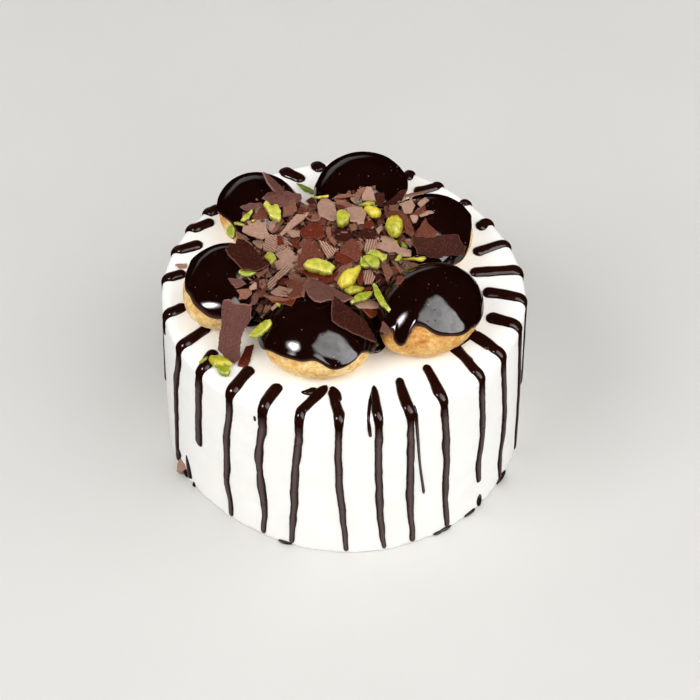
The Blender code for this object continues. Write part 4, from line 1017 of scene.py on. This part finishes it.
def run_line(run, rng):
    """Points and normals of a run: outward on the top, over the rim and down the side."""
    rim, inner = math.radians(run.rim), math.radians(run.inner)
    shoulder = float(cake_radius(rim, CAKE_HEIGHT)) - RIM_ROUNDING
    first = np.array((run.start * math.cos(inner), run.start * math.sin(inner), CAKE_HEIGHT))
    last = np.array((shoulder * math.cos(rim), shoulder * math.sin(rim), CAKE_HEIGHT))
    span = last - first
    bow = np.array((-span[1], span[0], 0)) / np.linalg.norm(span) * rng.uniform(-TOP_BOW, TOP_BOW)
    points, normals = [], []
    steps = max(8, round(np.linalg.norm(span) / TOP_STEP))
    for share in np.linspace(0, 1, steps, endpoint=False):
        points.append(first + span * share + bow * math.sin(share * math.pi))
        normals.append((0, 0, 1))
    for bend in np.linspace(0, math.pi / 2, 8, endpoint=False):
        z = CAKE_HEIGHT - RIM_ROUNDING * (1 - math.cos(bend))
        out = shoulder + RIM_ROUNDING * math.sin(bend)
        points.append((out * math.cos(rim), out * math.sin(rim), z))
        normals.append((math.sin(bend) * math.cos(rim), math.sin(bend) * math.sin(rim), math.cos(bend)))
    upper = CAKE_HEIGHT - RIM_ROUNDING
    rows = [(run.foot, run.end), *sorted(run.bends), (upper - 2, run.rim), (upper, run.rim)]
    if not run.bends:
        middle = run.foot + (upper - run.foot) * rng.uniform(0.35, 0.65)
        rows.insert(1, (middle, (run.end + run.rim) / 2 + rng.uniform(-SIDE_BOW, SIDE_BOW)))
    seed = rng.uniform(0, 50)
    for z in np.arange(upper, run.foot, -SIDE_STEP):
        wander = noise.noise(Vector((seed, 0, z / 9))) * WANDER * min(1, (upper - z) / 8)
        azimuth = math.radians(float(smooth(rows, z)) + wander)
        radius = float(cake_radius(azimuth, z))
        points.append((radius * math.cos(azimuth), radius * math.sin(azimuth), z))
        normals.append((math.cos(azimuth), math.sin(azimuth), 0))
    return np.array(points, float), np.array(normals, float)


def run_sizes(run, line, rng):
    """Widths and heights along a run: full on top, thinner and uneven down the side."""
    start_length = POINT_LENGTH if run.rim in POINTED_STARTS else run.top * 0.7
    shares, way = end_shares(line, start_length, run.side * 0.7)
    down = np.clip((CAKE_HEIGHT - line[:, 2]) / 5, 0, 1)
    width = TOP_WIDENING * run.top + (SIDE_WIDENING * run.side - TOP_WIDENING * run.top) * down
    height = RUN_HEIGHT - RUN_FLATTENING * down
    seed = rng.uniform(0, 50)
    swell = np.array([noise.noise(Vector((seed, place / 10, 0))) for place in way])
    narrow = np.array([noise.noise(Vector((seed, place / 3.5, 9))) for place in way])
    width = width * (1 + swell * 0.2 + narrow * (0.04 + 0.06 * down))
    fullness = NARROW_START if FRONT_RIM[0] < run.rim < FRONT_RIM[1] else WIDE_START
    width = width * (fullness + (1 - fullness) * np.clip(way / START_LENGTH, 0, 1))
    thin = np.clip(1 - line[:, 2] / THINNING_HEIGHT, 0, 1) * THINNING
    return width * shares * (1 - thin), height * np.maximum(shares, 0.3) * (1 + swell * 0.15)


def cream_gap(place):
    """Distance of a place from the cream's skin, and the direction outward there."""
    azimuth = math.atan2(place[1], place[0])
    out = math.hypot(place[0], place[1]) - float(cake_radius(azimuth, place[2])) + RIM_ROUNDING
    over = place[2] - CAKE_HEIGHT + RIM_ROUNDING
    out, over = max(out, 0.0), max(over, 0.0)
    away = max(math.hypot(out, over), 1e-6)
    outward = np.array((out * math.cos(azimuth), out * math.sin(azimuth), over)) / away
    return away - RIM_ROUNDING, outward


def seen_on_cream(seen):
    """Where the line of sight meets the cream."""
    place, line = seen_at_height(seen, CAKE_HEIGHT + 1), sight(seen)
    gap = cream_gap(place)[0]
    while gap > 0.02:
        place = place + line * max(gap * 0.7, 0.02)
        gap = cream_gap(place)[0]
    return place


def stroke_body(rows):
    """Smear of chocolate that follows the cream through places seen."""
    knots = np.array([seen_on_cream(seen) for seen, _ in rows])
    widths = np.array([width for _, width in rows])
    index = np.arange(len(rows))
    at = np.linspace(0, len(rows) - 1, 10 * len(rows))
    line = np.stack([smooth(list(zip(index, knots[:, axis])), at) for axis in range(3)], axis=-1)
    found = [cream_gap(place) for place in line]
    normals = np.array([outward for _, outward in found])
    line = line - normals * np.array([gap for gap, _ in found])[:, None]
    width = np.interp(at, index, widths)
    shares, _ = end_shares(line, widths[0] * 0.6, widths[-1] * 0.6)
    height = np.minimum(STROKE_HEIGHT, width * 0.4) * np.maximum(shares, 0.3)
    return bead(line, normals, width * shares, height)


def pool_body(azimuth, along, out, height):
    """Little pool where a run reaches the foot."""
    angle = math.radians(azimuth)
    radius = float(cake_radius(angle, 0)) + 0.1
    centre = np.array((radius * math.cos(angle), radius * math.sin(angle), height / 2 + 0.1))
    outward, sideways = level_axes(angle)
    turn, rise = np.meshgrid(np.linspace(0, math.tau, 24, endpoint=False), np.linspace(-80, 80, 11))
    rise = np.radians(rise)
    sphere = np.stack((np.cos(turn) * np.cos(rise), np.sin(turn) * np.cos(rise), np.sin(rise)), axis=-1)
    uneven = 1 + 0.18 * lumps(sphere.reshape(-1, 3) + azimuth, 0.9, 4).reshape(turn.shape)
    size = sphere * uneven[..., None] * (out, along, height / 2)
    rings = centre + size[..., :1] * outward + size[..., 1:2] * sideways + size[..., 2:] * ZENITH
    rings[..., 2] = np.maximum(rings[..., 2], 0.02)
    return ring_body(rings, rings[0].mean(axis=0), rings[-1].mean(axis=0))


def make_runs(material):
    rng = random.Random(11)
    shape = Shape()
    for run in RUNS:
        line, normals = run_line(run, rng)
        body, beside = bead(line, normals, *run_sizes(run, line, rng))
        shape.add(body, beside=beside)
    for rows in STROKES:
        body, beside = stroke_body(rows)
        shape.add(body, beside=beside)
    for row in POOLS:
        shape.add(pool_body(*row), beside=1)
    shape.make("chocolate_runs", material, ["cake_body"])


# Choux and glaze


def make_choux(name, bun, material, seed):
    azimuth = np.linspace(0, math.tau, 180, endpoint=False)
    foot = math.acos(-BASE_CUT)
    # A few rings under the glaze, many down the crust
    polar = np.concatenate((np.linspace(0.08, 0.85, 12), np.linspace(0.9, foot, 56)))
    polars, azimuths = np.meshgrid(polar, azimuth, indexing="ij")
    base = bun_surface(bun, azimuths, polars, 0.0).reshape(-1, 3)
    normal = bun_surface(bun, azimuths, polars, 1.0).reshape(-1, 3) - base
    cracks = np.clip(1 - np.abs(lumps(base * (1, 1, 0.6), 6, seed + 3)) * 8, 0, 1)
    cracks *= np.clip(lumps(base, 11, seed + 4) * 3 + 0.2, 0, 1)
    covered = np.clip((glaze_border(bun, azimuths, seed + 3) - polars) / math.radians(12), 0, 1).ravel()
    lift = relief(base, CRUST_RELIEF, seed) - CRACK_DEPTH * cracks - COVERED_DEPTH * covered
    lift += CRUST_SWELL * gathered(bun, base)
    rings = (base + normal * lift[:, None]).reshape(*azimuths.shape, 3)
    rings[..., 2] = np.maximum(rings[..., 2], CAKE_HEIGHT + 0.05)
    top = (bun.x + bun.lean_x, bun.y + bun.lean_y, CAKE_HEIGHT + GAP + bun.height)
    bottom = (bun.x, bun.y, CAKE_HEIGHT + 0.05)
    body = ring_body(rings, top, bottom)
    height = np.clip((body[0][:, 2] - CAKE_HEIGHT) / bun.height, 0, 1)
    shape = Shape()
    shape.add(body, gold=bun.gold, height=height, crack=np.concatenate((cracks, (0, 0))))
    crust = shape.make(f"crust_{name}", material, [f"choux_{name}"], "choux")
    # Mirrored in the chocolate beside it, it would tint it olive
    crust.visible_glossy = False


def glaze_border(bun, azimuth, seed):
    """Angle from the top of the glaze's edge, in radians, with its small waves."""
    degrees = np.degrees(azimuth)
    waves = 1.1 * np.sin(np.radians(degrees) * 7 + seed) + 0.7 * np.sin(np.radians(degrees) * 13 + 2 * seed)
    return np.radians(smooth_round(bun.border, degrees) + waves)


def make_glaze(name, bun, material, seed):
    """The glaze: an outer skin with a bead along its rounded edge, closed inside the crust."""
    azimuth = np.linspace(0, math.tau, 280, endpoint=False)
    border = glaze_border(bun, azimuth, seed)
    mean_radius = (bun.long + bun.short) / 2
    edge = EDGE_ROUNDING / mean_radius
    rings = []
    for share in np.concatenate((np.linspace(0.04, 0.8, 22), np.linspace(0.83, 1, 14))):
        polar = (border - edge) * share
        before = (border - edge) * (1 - share) * mean_radius
        skin = GLAZE_SKIN + GLAZE_BEAD * np.exp(-((before - BEAD_PLACE) / BEAD_SPREAD) ** 2)
        rings.append(bun_surface(bun, azimuth, polar, skin))
    outer = len(rings)
    # Round the edge and back under it
    for turn in np.linspace(0, 1, 9)[1:] * math.radians(125):
        skin = (GLAZE_SKIN + GLAZE_BEAD) * (0.5 + 0.5 * math.cos(turn * 1.25))
        polar = border - edge + edge * math.sin(min(turn, math.pi / 2))
        rings.append(bun_surface(bun, azimuth, polar, skin - 0.1))
    # The inner face, hidden in the crust
    for share in (0.98, 0.6, 0.2):
        rings.append(bun_surface(bun, azimuth, (border - edge) * share, -1.0))
    rings = np.array(rings)
    centre = np.array((bun.x + bun.lean_x / 2, bun.y + bun.lean_y / 2, CAKE_HEIGHT + bun.waist))
    shown = outer + 6
    flat = rings[:shown].reshape(-1, 3)
    outward = (flat - centre) / np.linalg.norm(flat - centre, axis=1)[:, None]
    swell = relief(flat, GLAZE_RELIEF, seed) + gathered(bun, flat)
    rings[:shown] = (flat + outward * swell[:, None]).reshape(shown, -1, 3)
    top = rings[0].mean(axis=0) + (0, 0, 0.02)
    bottom = rings[-1].mean(axis=0)
    # Share of the edge colour, partly the thin glaze's brown and partly painted reflection
    thin = np.zeros(rings.shape[:2])
    thin[outer - 3:shown] = np.array((0.1, 0.25, 0.5, 0.8, 1, 1, 1, 1, 1))[:, None]
    shape = Shape()
    shape.add(ring_body(rings, top, bottom), edge=np.concatenate((thin.ravel(), (0, 0))))
    shape.make(f"glaze_coat_{name}", material, [f"glaze_{name}"], "dark_glaze")


# Flakes


def broken_outline(corners, rng, spacing=1.1, jag=0.13):
    """Closed outline through the corners with the small breaks of snapped chocolate."""
    corners = [np.asarray(corner, float) for corner in corners]
    outline = []
    for first, last in zip(corners, corners[1:] + corners[:1]):
        span = last - first
        length = np.linalg.norm(span)
        side = np.array((-span[1], span[0])) / max(length, 1e-6)
        steps = max(1, round(length / spacing))
        for step in range(steps):
            shift = rng.gauss(0, jag) * (1.0 if step else 0.3)
            outline.append(first + span * step / steps + side * shift)
    return np.array(outline)


def plate_body(outline, thickness, bend, rng):
    """Plate over a flat outline, slightly bent and uneven, with blunt edges."""
    middle = outline.mean(axis=0)
    half = thickness / 2
    direction = rng.uniform(0, math.pi)
    along = (outline - middle) @ (math.cos(direction), math.sin(direction))
    reach = max(np.abs(along).max(), 0.1)
    seed = rng.uniform(0, 90)
    rings = []
    for scale, rise in PLATE_PROFILE:
        flat = middle + (outline - middle) * scale
        lift = bend * ((along * scale / reach) ** 2 - 0.4)
        rough = np.array([noise.noise(Vector((x / 2.6, y / 2.6, seed))) for x, y in flat]) * 0.12
        rings.append(np.column_stack((flat, half * rise + lift + rough)))
    centre = bend * -0.4
    edge = np.zeros((len(PLATE_PROFILE), len(outline)))
    edge[3:5] = 1.0
    body = ring_body(np.array(rings), (*middle, half + centre), (*middle, -half + centre))
    return body, np.concatenate((edge.ravel(), (0, 0)))


def ridged_body(outline, thickness, rng):
    """Plate with the parallel ridges that a scraper leaves on its upper face."""
    spread = outline - outline.mean(axis=0)
    angle = math.atan2(*np.linalg.svd(spread, full_matrices=False)[2][0][::-1]) + rng.uniform(-0.2, 0.2)
    turn = np.array(((math.cos(angle), math.sin(angle)), (-math.sin(angle), math.cos(angle))))
    turned = spread @ turn.T
    low, high = turned[:, 1].min() + 0.05, turned[:, 1].max() - 0.05
    rings = []
    for v in np.linspace(low, high, max(6, round((high - low) / 0.13))):
        first, last = turned, np.roll(turned, -1, axis=0)
        crossing = (first[:, 1] - v) * (last[:, 1] - v) < 0
        first, last = first[crossing], last[crossing]
        at = first[:, 0] + (last[:, 0] - first[:, 0]) * (v - first[:, 1]) / (last[:, 1] - first[:, 1])
        if len(at) < 2:
            continue
        along = np.linspace(at.min(), at.max(), 9)
        wave = np.array([math.sin((v + 0.12 * math.sin(u * 1.3)) / RIDGE_PITCH * math.tau) for u in along])
        top = thickness / 2 + wave * RIDGE_DEPTH / 2
        upper = np.column_stack((along, np.full(9, v), top))
        lower = np.column_stack((along[::-1], np.full(9, v), np.full(9, -thickness / 2)))
        rings.append(np.concatenate((upper, lower)))
    rings = np.array(rings)
    rings[..., :2] = rings[..., :2] @ turn + outline.mean(axis=0)
    body = ring_body(rings, rings[0].mean(axis=0), rings[-1].mean(axis=0))
    crest = np.clip(0.5 + (body[0][:, 2] - thickness / 2) / RIDGE_DEPTH, 0, 1)
    return body, crest


def axes_for(normal, direction=(1.0, 0.0, 0.0)):
    """Two axes in the plane with this normal, the first near the direction, and the normal."""
    normal = unit(normal)
    second = unit(np.cross(normal, direction))
    return np.array((np.cross(second, normal), second, normal))


def placed(body, centre, axes):
    points, quads, triangles = body
    return points @ axes + centre, quads, triangles


def seen_outline(corners, place, normal, rng, spacing=1.1, jag=0.13):
    """Outline in its own plane of a plate whose corners are seen, with that plane's axes."""
    axes = axes_for(normal)
    flat = [(seen_on_plane(corner, place, normal) - place) @ axes[:2].T for corner in corners]
    return broken_outline(flat, rng, spacing, jag), axes


def add_flake(shapes, flake, rng):
    """One flake where it is seen, lying on what carries it."""
    place = seen_on_support(np.mean(flake.corners, axis=0), flake.lift)
    tilt = np.array((rng.gauss(0, 0.10), rng.gauss(0, 0.10), 0))
    normal = unit(support_normal(place[0], place[1]) * 0.7 + np.array((0, 0, 0.5)) + tilt)
    outline, axes = seen_outline(flake.corners, place, normal, rng)
    thickness = FLAKE_THICKNESS * rng.uniform(0.85, 1.15)
    if flake.ridged:
        body, edge = ridged_body(outline, thickness, rng)
        # Painted shade: the troughs between the ridges are coloured darker, and the crests lighter with the
        # dusty edge colour
        tone = edge
    else:
        body, edge = plate_body(outline, thickness, rng.uniform(-0.5, 0.5), rng)
        tone = rng.uniform(0.85, 1.0)
    shapes[flake.tone].add(placed(body, place, axes), tone=tone, edge=edge)


def random_corners(length, width, count, rng):
    corners = []
    for number in range(count):
        angle = (number + rng.uniform(-0.28, 0.28)) / count * math.tau
        blunt = rng.uniform(0.38, 0.6)
        corners.append((blunt * length * math.cos(angle), blunt * width * math.sin(angle)))
    return corners


def inside_outline(x, y, outline):
    """True within a closed outline of places."""
    inside = False
    for (x0, y0), (x1, y1) in zip(outline, outline[1:] + outline[:1]):
        if (y0 > y) != (y1 > y) and x < x0 + (x1 - x0) * (y - y0) / (y1 - y0):
            inside = not inside
    return inside


def heap_places(count, rng):
    """Random places inside the heap's outline."""
    level = CAKE_HEIGHT + HEAP_HEIGHT - 4
    outline = [tuple(seen_at_height(seen, level)[:2]) for seen in HEAP_OUTLINE]
    columns = np.array(outline)
    low, high = columns.min(axis=0), columns.max(axis=0)
    found = []
    while len(found) < count:
        x, y = rng.uniform(low[0], high[0]), rng.uniform(low[1], high[1])
        if inside_outline(x, y, outline):
            found.append((x, y))
    return found


def under_shard(place):
    """True behind one of the large shards, where nothing may poke through."""
    seen = pixel_of(place)
    return any(inside_outline(*seen, shard.corners) for shard in SHARDS.values())


def add_filling(shapes, rng):
    """Flakes that fill the heap under those listed one by one."""
    tones, weights = tuple(FILL_TONES), tuple(FILL_TONES.values())
    for x, y in heap_places(FILL_COUNT, rng):
        length = rng.uniform(4, 11)
        width = length * rng.uniform(0.35, 0.8)
        outline = broken_outline(random_corners(length, width, rng.choice((4, 5, 5, 6)), rng), rng)
        lean = np.array((rng.gauss(0, 0.55), rng.gauss(0, 0.55), 0.3))
        axes = axes_for(support_normal(x, y) + lean, (rng.uniform(-1, 1), rng.uniform(-1, 1), 0.1))
        lift = rng.uniform(-FILL_DEPTH, FILL_RISE)
        place = np.array((x, y, CAKE_HEIGHT + support(x, y) + lift))
        if under_shard(place):
            continue
        thickness = FLAKE_THICKNESS * rng.uniform(0.7, 1.1)
        body, edge = plate_body(outline, thickness, rng.uniform(-0.6, 0.6), rng)
        tone = rng.choices(tones, weights)[0]
        # Painted shade: the deeper a flake lies in the heap, the darker it is coloured and the less its
        # dusty edges show
        lit = (lift + FILL_DEPTH) / (FILL_RISE + FILL_DEPTH)
        shapes[tone].add(placed(body, place, axes), tone=lit * rng.uniform(0.3, 1.0), edge=edge * lit)


def add_crumbs(shapes, rng):
    """Crumbs between the flakes."""
    for x, y in heap_places(CRUMB_COUNT, rng):
        size = rng.uniform(0.8, 2.6)
        corners = random_corners(size, size * rng.uniform(0.5, 1), 5, rng)
        outline = broken_outline(corners, rng, spacing=3)
        lean = np.array((rng.gauss(0, 0.5), rng.gauss(0, 0.5), 0.2))
        axes = axes_for(support_normal(x, y) + lean, (rng.uniform(-1, 1), rng.uniform(-1, 1), 0.1))
        place = np.array((x, y, CAKE_HEIGHT + support(x, y) + rng.uniform(0.2, 1.5)))
        if under_shard(place):
            continue
        body, edge = plate_body(outline, rng.uniform(0.4, 0.9), 0.0, rng)
        tone = rng.choice(tuple(TONE_COLOURS))
        shapes[tone].add(placed(body, place, axes), tone=rng.uniform(0.3, 1.0), edge=edge)


def make_heap_core(material):
    """Uneven core that closes the heap under its flakes, coloured darker than the dark flakes as painted
    shade in the gaps between them.
    """
    azimuth = np.linspace(0, math.tau, 160, endpoint=False)
    rings = []
    for share in np.concatenate((np.linspace(0.03, 0.96, 50), (0.98, 0.995))):
        radius = HEAP_RADIUS * share * 0.97
        x = HEAP_CENTRE[0] + radius * np.cos(azimuth)
        y = HEAP_CENTRE[1] + radius * np.sin(azimuth)
        z = np.full_like(x, CAKE_HEIGHT + HEAP_HEIGHT * math.sqrt(1 - share * share) - CORE_DEPTH)
        rings.append(np.stack((x, y, np.maximum(z, CAKE_HEIGHT + 0.3)), axis=-1))
    rings = np.array(rings)
    rise = relief(rings.reshape(-1, 3), HEAP_RELIEF).reshape(rings.shape[:2])
    rings[..., 2] = np.maximum(rings[..., 2] + rise, CAKE_HEIGHT + 0.1)
    shape = Shape()
    shape.add(ring_body(rings, rings[0].mean(axis=0), (*HEAP_CENTRE, CAKE_HEIGHT + 0.1)), tone=0.5)
    shape.make("heap_core", material, ["flake_heap"], "flakes", flat=True)


def make_flakes(finishes):
    shapes = {tone: Shape() for tone in TONE_COLOURS}
    rng = random.Random(21)
    for flake in FLAKES:
        add_flake(shapes, flake, rng)
    add_filling(shapes, random.Random(22))
    add_crumbs(shapes, random.Random(23))
    for tone, shape in shapes.items():
        shape.make(f"flakes_{tone}", finishes[tone], ["flake_heap"], "flakes", crisp=True)


def make_plate(name, node, material, marked_body, place, axes):
    """One plate of chocolate as a piece of its own."""
    body, edge = marked_body
    shape = Shape()
    shape.add(placed(body, place, axes), tone=0.8, edge=edge)
    shape.make(name, material, [node], "flakes", crisp=True)


def make_shards(finishes):
    """The six large shards, each in the plane that it leans in."""
    rng = random.Random(8)
    for name, shard in SHARDS.items():
        turn = Matrix.Rotation(math.radians(shard.turn), 3, "Z")
        pitch = Matrix.Rotation(math.radians(-shard.pitch), 3, "Y")
        roll = Matrix.Rotation(math.radians(shard.roll), 3, "X")
        normal = np.array((turn @ pitch @ roll).col[2])
        place = np.array((shard.x, shard.y, CAKE_HEIGHT + shard.z))
        outline, axes = seen_outline(shard.corners, place, normal, rng, spacing=0.9)
        body = plate_body(outline, SHARD_THICKNESS, shard.bend, rng)
        make_plate(name.replace("shard", "plate"), name, finishes[shard.tone], body, place, axes)


def make_cream_flakes(finishes):
    rng = random.Random(9)
    for number, (tone, corners) in enumerate(CREAM_FLAKES):
        place = seen_at_height(np.mean(corners, axis=0), CAKE_HEIGHT + 0.7)
        outline, axes = seen_outline(corners, place, ZENITH, rng)
        body = plate_body(outline, LOOSE_THICKNESS, LOOSE_BEND, rng)
        make_plate(f"cream_flake_{number}", "cake_body", finishes[tone], body, place, axes)


def make_foot_flake(finishes):
    rng = random.Random(14)
    at, z, tone, length, width, lean = FOOT_FLAKE
    azimuth, lean = math.radians(at), math.radians(lean)
    outward, sideways = level_axes(azimuth)
    normal = outward * math.cos(lean) + ZENITH * math.sin(lean)
    outline = broken_outline(random_corners(length, width, 6, rng), rng)
    body = plate_body(outline, LOOSE_THICKNESS, LOOSE_BEND, rng)
    place = outward * (cake_radius(azimuth, z) + LOOSE_THICKNESS) + ZENITH * z
    axes = axes_for(normal, sideways * 0.3 + ZENITH)
    make_plate("foot_flake", "cake_body", finishes[tone], body, place, axes)


# Pistachios


def kernel_body(outline, thickness, cut, rng):
    """Pistachio or piece of one over a flat outline: cushion-shaped, or with a flat cut on top. The marks
    are the cut and its pale rim, a painted highlight."""
    profile = CUT_PROFILE if cut else WHOLE_PROFILE
    middle = outline.mean(axis=0)
    rings = []
    for scale, rise in profile:
        level = np.full(len(outline), rise * thickness)
        rings.append(np.column_stack((middle + (outline - middle) * scale, level)))
    rings = np.array(rings)
    flat = rings.reshape(-1, 3)
    seed = rng.uniform(0, 90)
    shift = 0.11 * thickness * lumps(flat, 0.7 * thickness, seed) + 0.14 * lumps(flat, 1.0, seed + 1)
    outward = flat - (*middle, 0)
    flat = flat + outward / np.linalg.norm(outward, axis=1)[:, None] * shift[:, None]
    rings = flat.reshape(rings.shape)
    marks = np.zeros((2, len(profile), len(outline)))
    if cut:
        marks[0, :3] = 1.0
        marks[1, 2:4] = 1.0
    tips = (rings[0].mean(axis=0), rings[-1].mean(axis=0))
    ends = np.array(((1.0 if cut else 0.0, 0.0), (0.0, 0.0)))
    return ring_body(rings, *tips), np.concatenate((marks.reshape(2, -1), ends), axis=1)


def add_nut(shape, nut, place, normal, rng):
    outline, axes = seen_outline(nut.corners, place, normal, rng, spacing=0.55, jag=0.08)
    body, (cut, edge) = kernel_body(outline, nut.thick, nut.cut, rng)
    shape.add(placed(body, place, axes), yellow=nut.yellow, cut=cut, edge=edge)


def make_nuts(material):
    rng = random.Random(31)
    shape = Shape()
    for nut in NUTS:
        place = seen_on_support(np.mean(nut.corners, axis=0), nut.lift)
        normal = unit(support_normal(place[0], place[1]) * 0.5 + np.array((rng.gauss(0, 0.1), -0.15, 0.6)))
        add_nut(shape, nut, place, normal, rng)
    shape.make("heap_pistachios", material, ["flake_heap"], crisp=True)
    shape = Shape()
    for nut in CREAM_NUTS:
        place = seen_at_height(np.mean(nut.corners, axis=0), CAKE_HEIGHT + nut.lift)
        add_nut(shape, nut, place, ZENITH, rng)
    shape.make("cream_pistachios", material, ["cake_body"], crisp=True)


# Floor, light and camera


def make_floor():
    mesh = bpy.data.meshes.new("floor")
    half = FLOOR_HALF * MM
    corners = [(-half, -half, 0), (half, -half, 0), (half, half, 0), (-half, half, 0)]
    mesh.from_pydata(corners, [], [(0, 1, 2, 3)])
    finish = Finish("floor", Roughness=0.6, Specular_IOR_Level=0.3)
    finish.set(Base_Color=finish.mix(finish.grain(90, 2), srgb(204, 203, 200), srgb(199, 198, 195)))
    mesh.materials.append(finish.material)
    floor = bpy.data.objects.new("floor", mesh)
    floor.location.z = -0.05 * MM
    floor.visible_glossy = False
    bpy.context.scene.collection.objects.link(floor)


def direction_to(azimuth, elevation):
    azimuth, elevation = math.radians(azimuth), math.radians(elevation)
    level = math.cos(elevation)
    return Vector((level * math.cos(azimuth), level * math.sin(azimuth), math.sin(elevation)))


def softbox(name, azimuth, elevation, wide, high, radiance):
    """Soft light that covers this many degrees as seen from the cake, which it faces."""
    distance = LAMP_DISTANCE * MM
    light = bpy.data.lights.new(name, "AREA")
    light.shape = "RECTANGLE"
    light.size = 2 * distance * math.tan(math.radians(wide / 2))
    light.size_y = 2 * distance * math.tan(math.radians(high / 2))
    light.energy = radiance * math.pi * light.size * light.size_y
    lamp = bpy.data.objects.new(name, light)
    lamp.visible_glossy = False
    direction = direction_to(azimuth, elevation)
    lamp.location = direction * distance + Vector((0, 0, CAKE_HEIGHT * MM))
    lamp.rotation_mode = "QUATERNION"
    lamp.rotation_quaternion = (-direction).to_track_quat("-Z", "Y")
    bpy.context.scene.collection.objects.link(lamp)


def panel_finish(name, radiance):
    """Glow that follows the values stored on the panel's points, a little uneven."""
    finish = Finish(name)
    uneven = finish.map(finish.grain(520, 2), 0.35, 0.65, 0.72, 1.0)
    glow = finish.times(finish.value("glow"), uneven)
    emission = finish.add("ShaderNodeEmission", inputs={"Strength": finish.times(glow, radiance)})
    finish.plug(finish.tree.nodes["Material Output"].inputs["Surface"], emission.outputs[0])
    return finish.material


def shine_panel(name, corners, rings, radiance):
    """What the glossy surfaces mirror of a softbox, with its glow fading from ring to ring."""
    distance = PANEL_DISTANCE * MM
    toward = [direction_to(azimuth, elevation) for azimuth, elevation, _ in corners]
    middle = sum(toward, Vector()).normalized()
    out = [direction * (distance / direction.dot(middle)) for direction in toward]
    centre = sum(out, Vector()) / len(out)
    points, glow, faces = [centre], [rings[0][1]], []
    for share, strength in rings:
        points += [centre.lerp(corner, share) for corner in out]
        glow += [strength * part for _, _, part in corners]
    count = len(out)
    for number in range(count):
        onward = (number + 1) % count
        faces.append((0, 1 + number, 1 + onward))
        for ring in range(len(rings) - 1):
            near, far = 1 + ring * count, 1 + (ring + 1) * count
            faces.append((near + number, far + number, far + onward, near + onward))
    mesh = bpy.data.meshes.new(name)
    mesh.from_pydata(points, [], faces)
    mesh.attributes.new("glow", "FLOAT", "POINT").data.foreach_set("value", glow)
    mesh.materials.append(panel_finish(name, radiance))
    panel = bpy.data.objects.new(name, mesh)
    panel.location.z = CAKE_HEIGHT * MM
    bpy.context.scene.collection.objects.link(panel)
    panel.visible_camera = False
    panel.visible_diffuse = False
    panel.visible_shadow = False


def round_corners(azimuth, elevation, reach):
    """Corners all round a direction, this many degrees off it."""
    turns = [math.tau * number / 16 for number in range(16)]
    wide = reach / math.cos(math.radians(elevation))
    return [(azimuth + wide * math.cos(turn), elevation + reach * math.sin(turn), 1.0) for turn in turns]


def make_lights():
    for name, values in SOFTBOXES.items():
        softbox(name, *values)
    shine_panel("shine_left", round_corners(*LEFT_PANEL), LEFT_RINGS, LEFT_GLOW)
    shine_panel("shine_right", RIGHT_CORNERS, RIGHT_RINGS, RIGHT_GLOW)
    shine_panel("shine_back", BACK_CORNERS, BACK_RINGS, BACK_GLOW)
    world = bpy.data.worlds.new("room")
    bpy.context.scene.world = world
    world.use_nodes = True
    sky = world.node_tree.nodes["Background"]
    sky.inputs["Color"].default_value = (1.0, 0.99, 0.97, 1.0)
    sky.inputs["Strength"].default_value = ROOM_LIGHT
    world.cycles_visibility.glossy = False


def make_camera():
    camera = bpy.data.cameras.new("camera")
    camera.sensor_width = SENSOR
    camera.lens = FOCAL_PIXELS / FRAME_PIXELS * SENSOR
    camera.clip_start, camera.clip_end = 0.01, 20
    seat = bpy.data.objects.new("camera", camera)
    turn = Matrix(np.array((RIGHT, UP, -FORWARD)).T.tolist()).to_4x4()
    seat.matrix_world = Matrix.Translation(Vector(CAMERA_PLACE) * MM) @ turn
    bpy.context.scene.collection.objects.link(seat)
    bpy.context.scene.camera = seat


def main():
    make_cream(cream_finish())
    make_runs(run_finish())
    crust, chocolate = choux_finish(), glaze_finish()
    for number, (name, bun) in enumerate(BUNS.items()):
        make_choux(name, bun, crust, 10 * number)
        make_glaze(name, bun, chocolate, 10 * number + 3)
    finishes = {tone: flake_finish(tone) for tone in TONE_COLOURS}
    make_heap_core(finishes["dark"])
    make_flakes(finishes)
    make_shards(finishes)
    make_cream_flakes(finishes)
    make_foot_flake(finishes)
    make_nuts(nut_finish())
    make_floor()
    make_lights()
    make_camera()
    bpy.context.scene.view_settings.view_transform = "Standard"
    bpy.context.scene.view_settings.look = "None"


main()
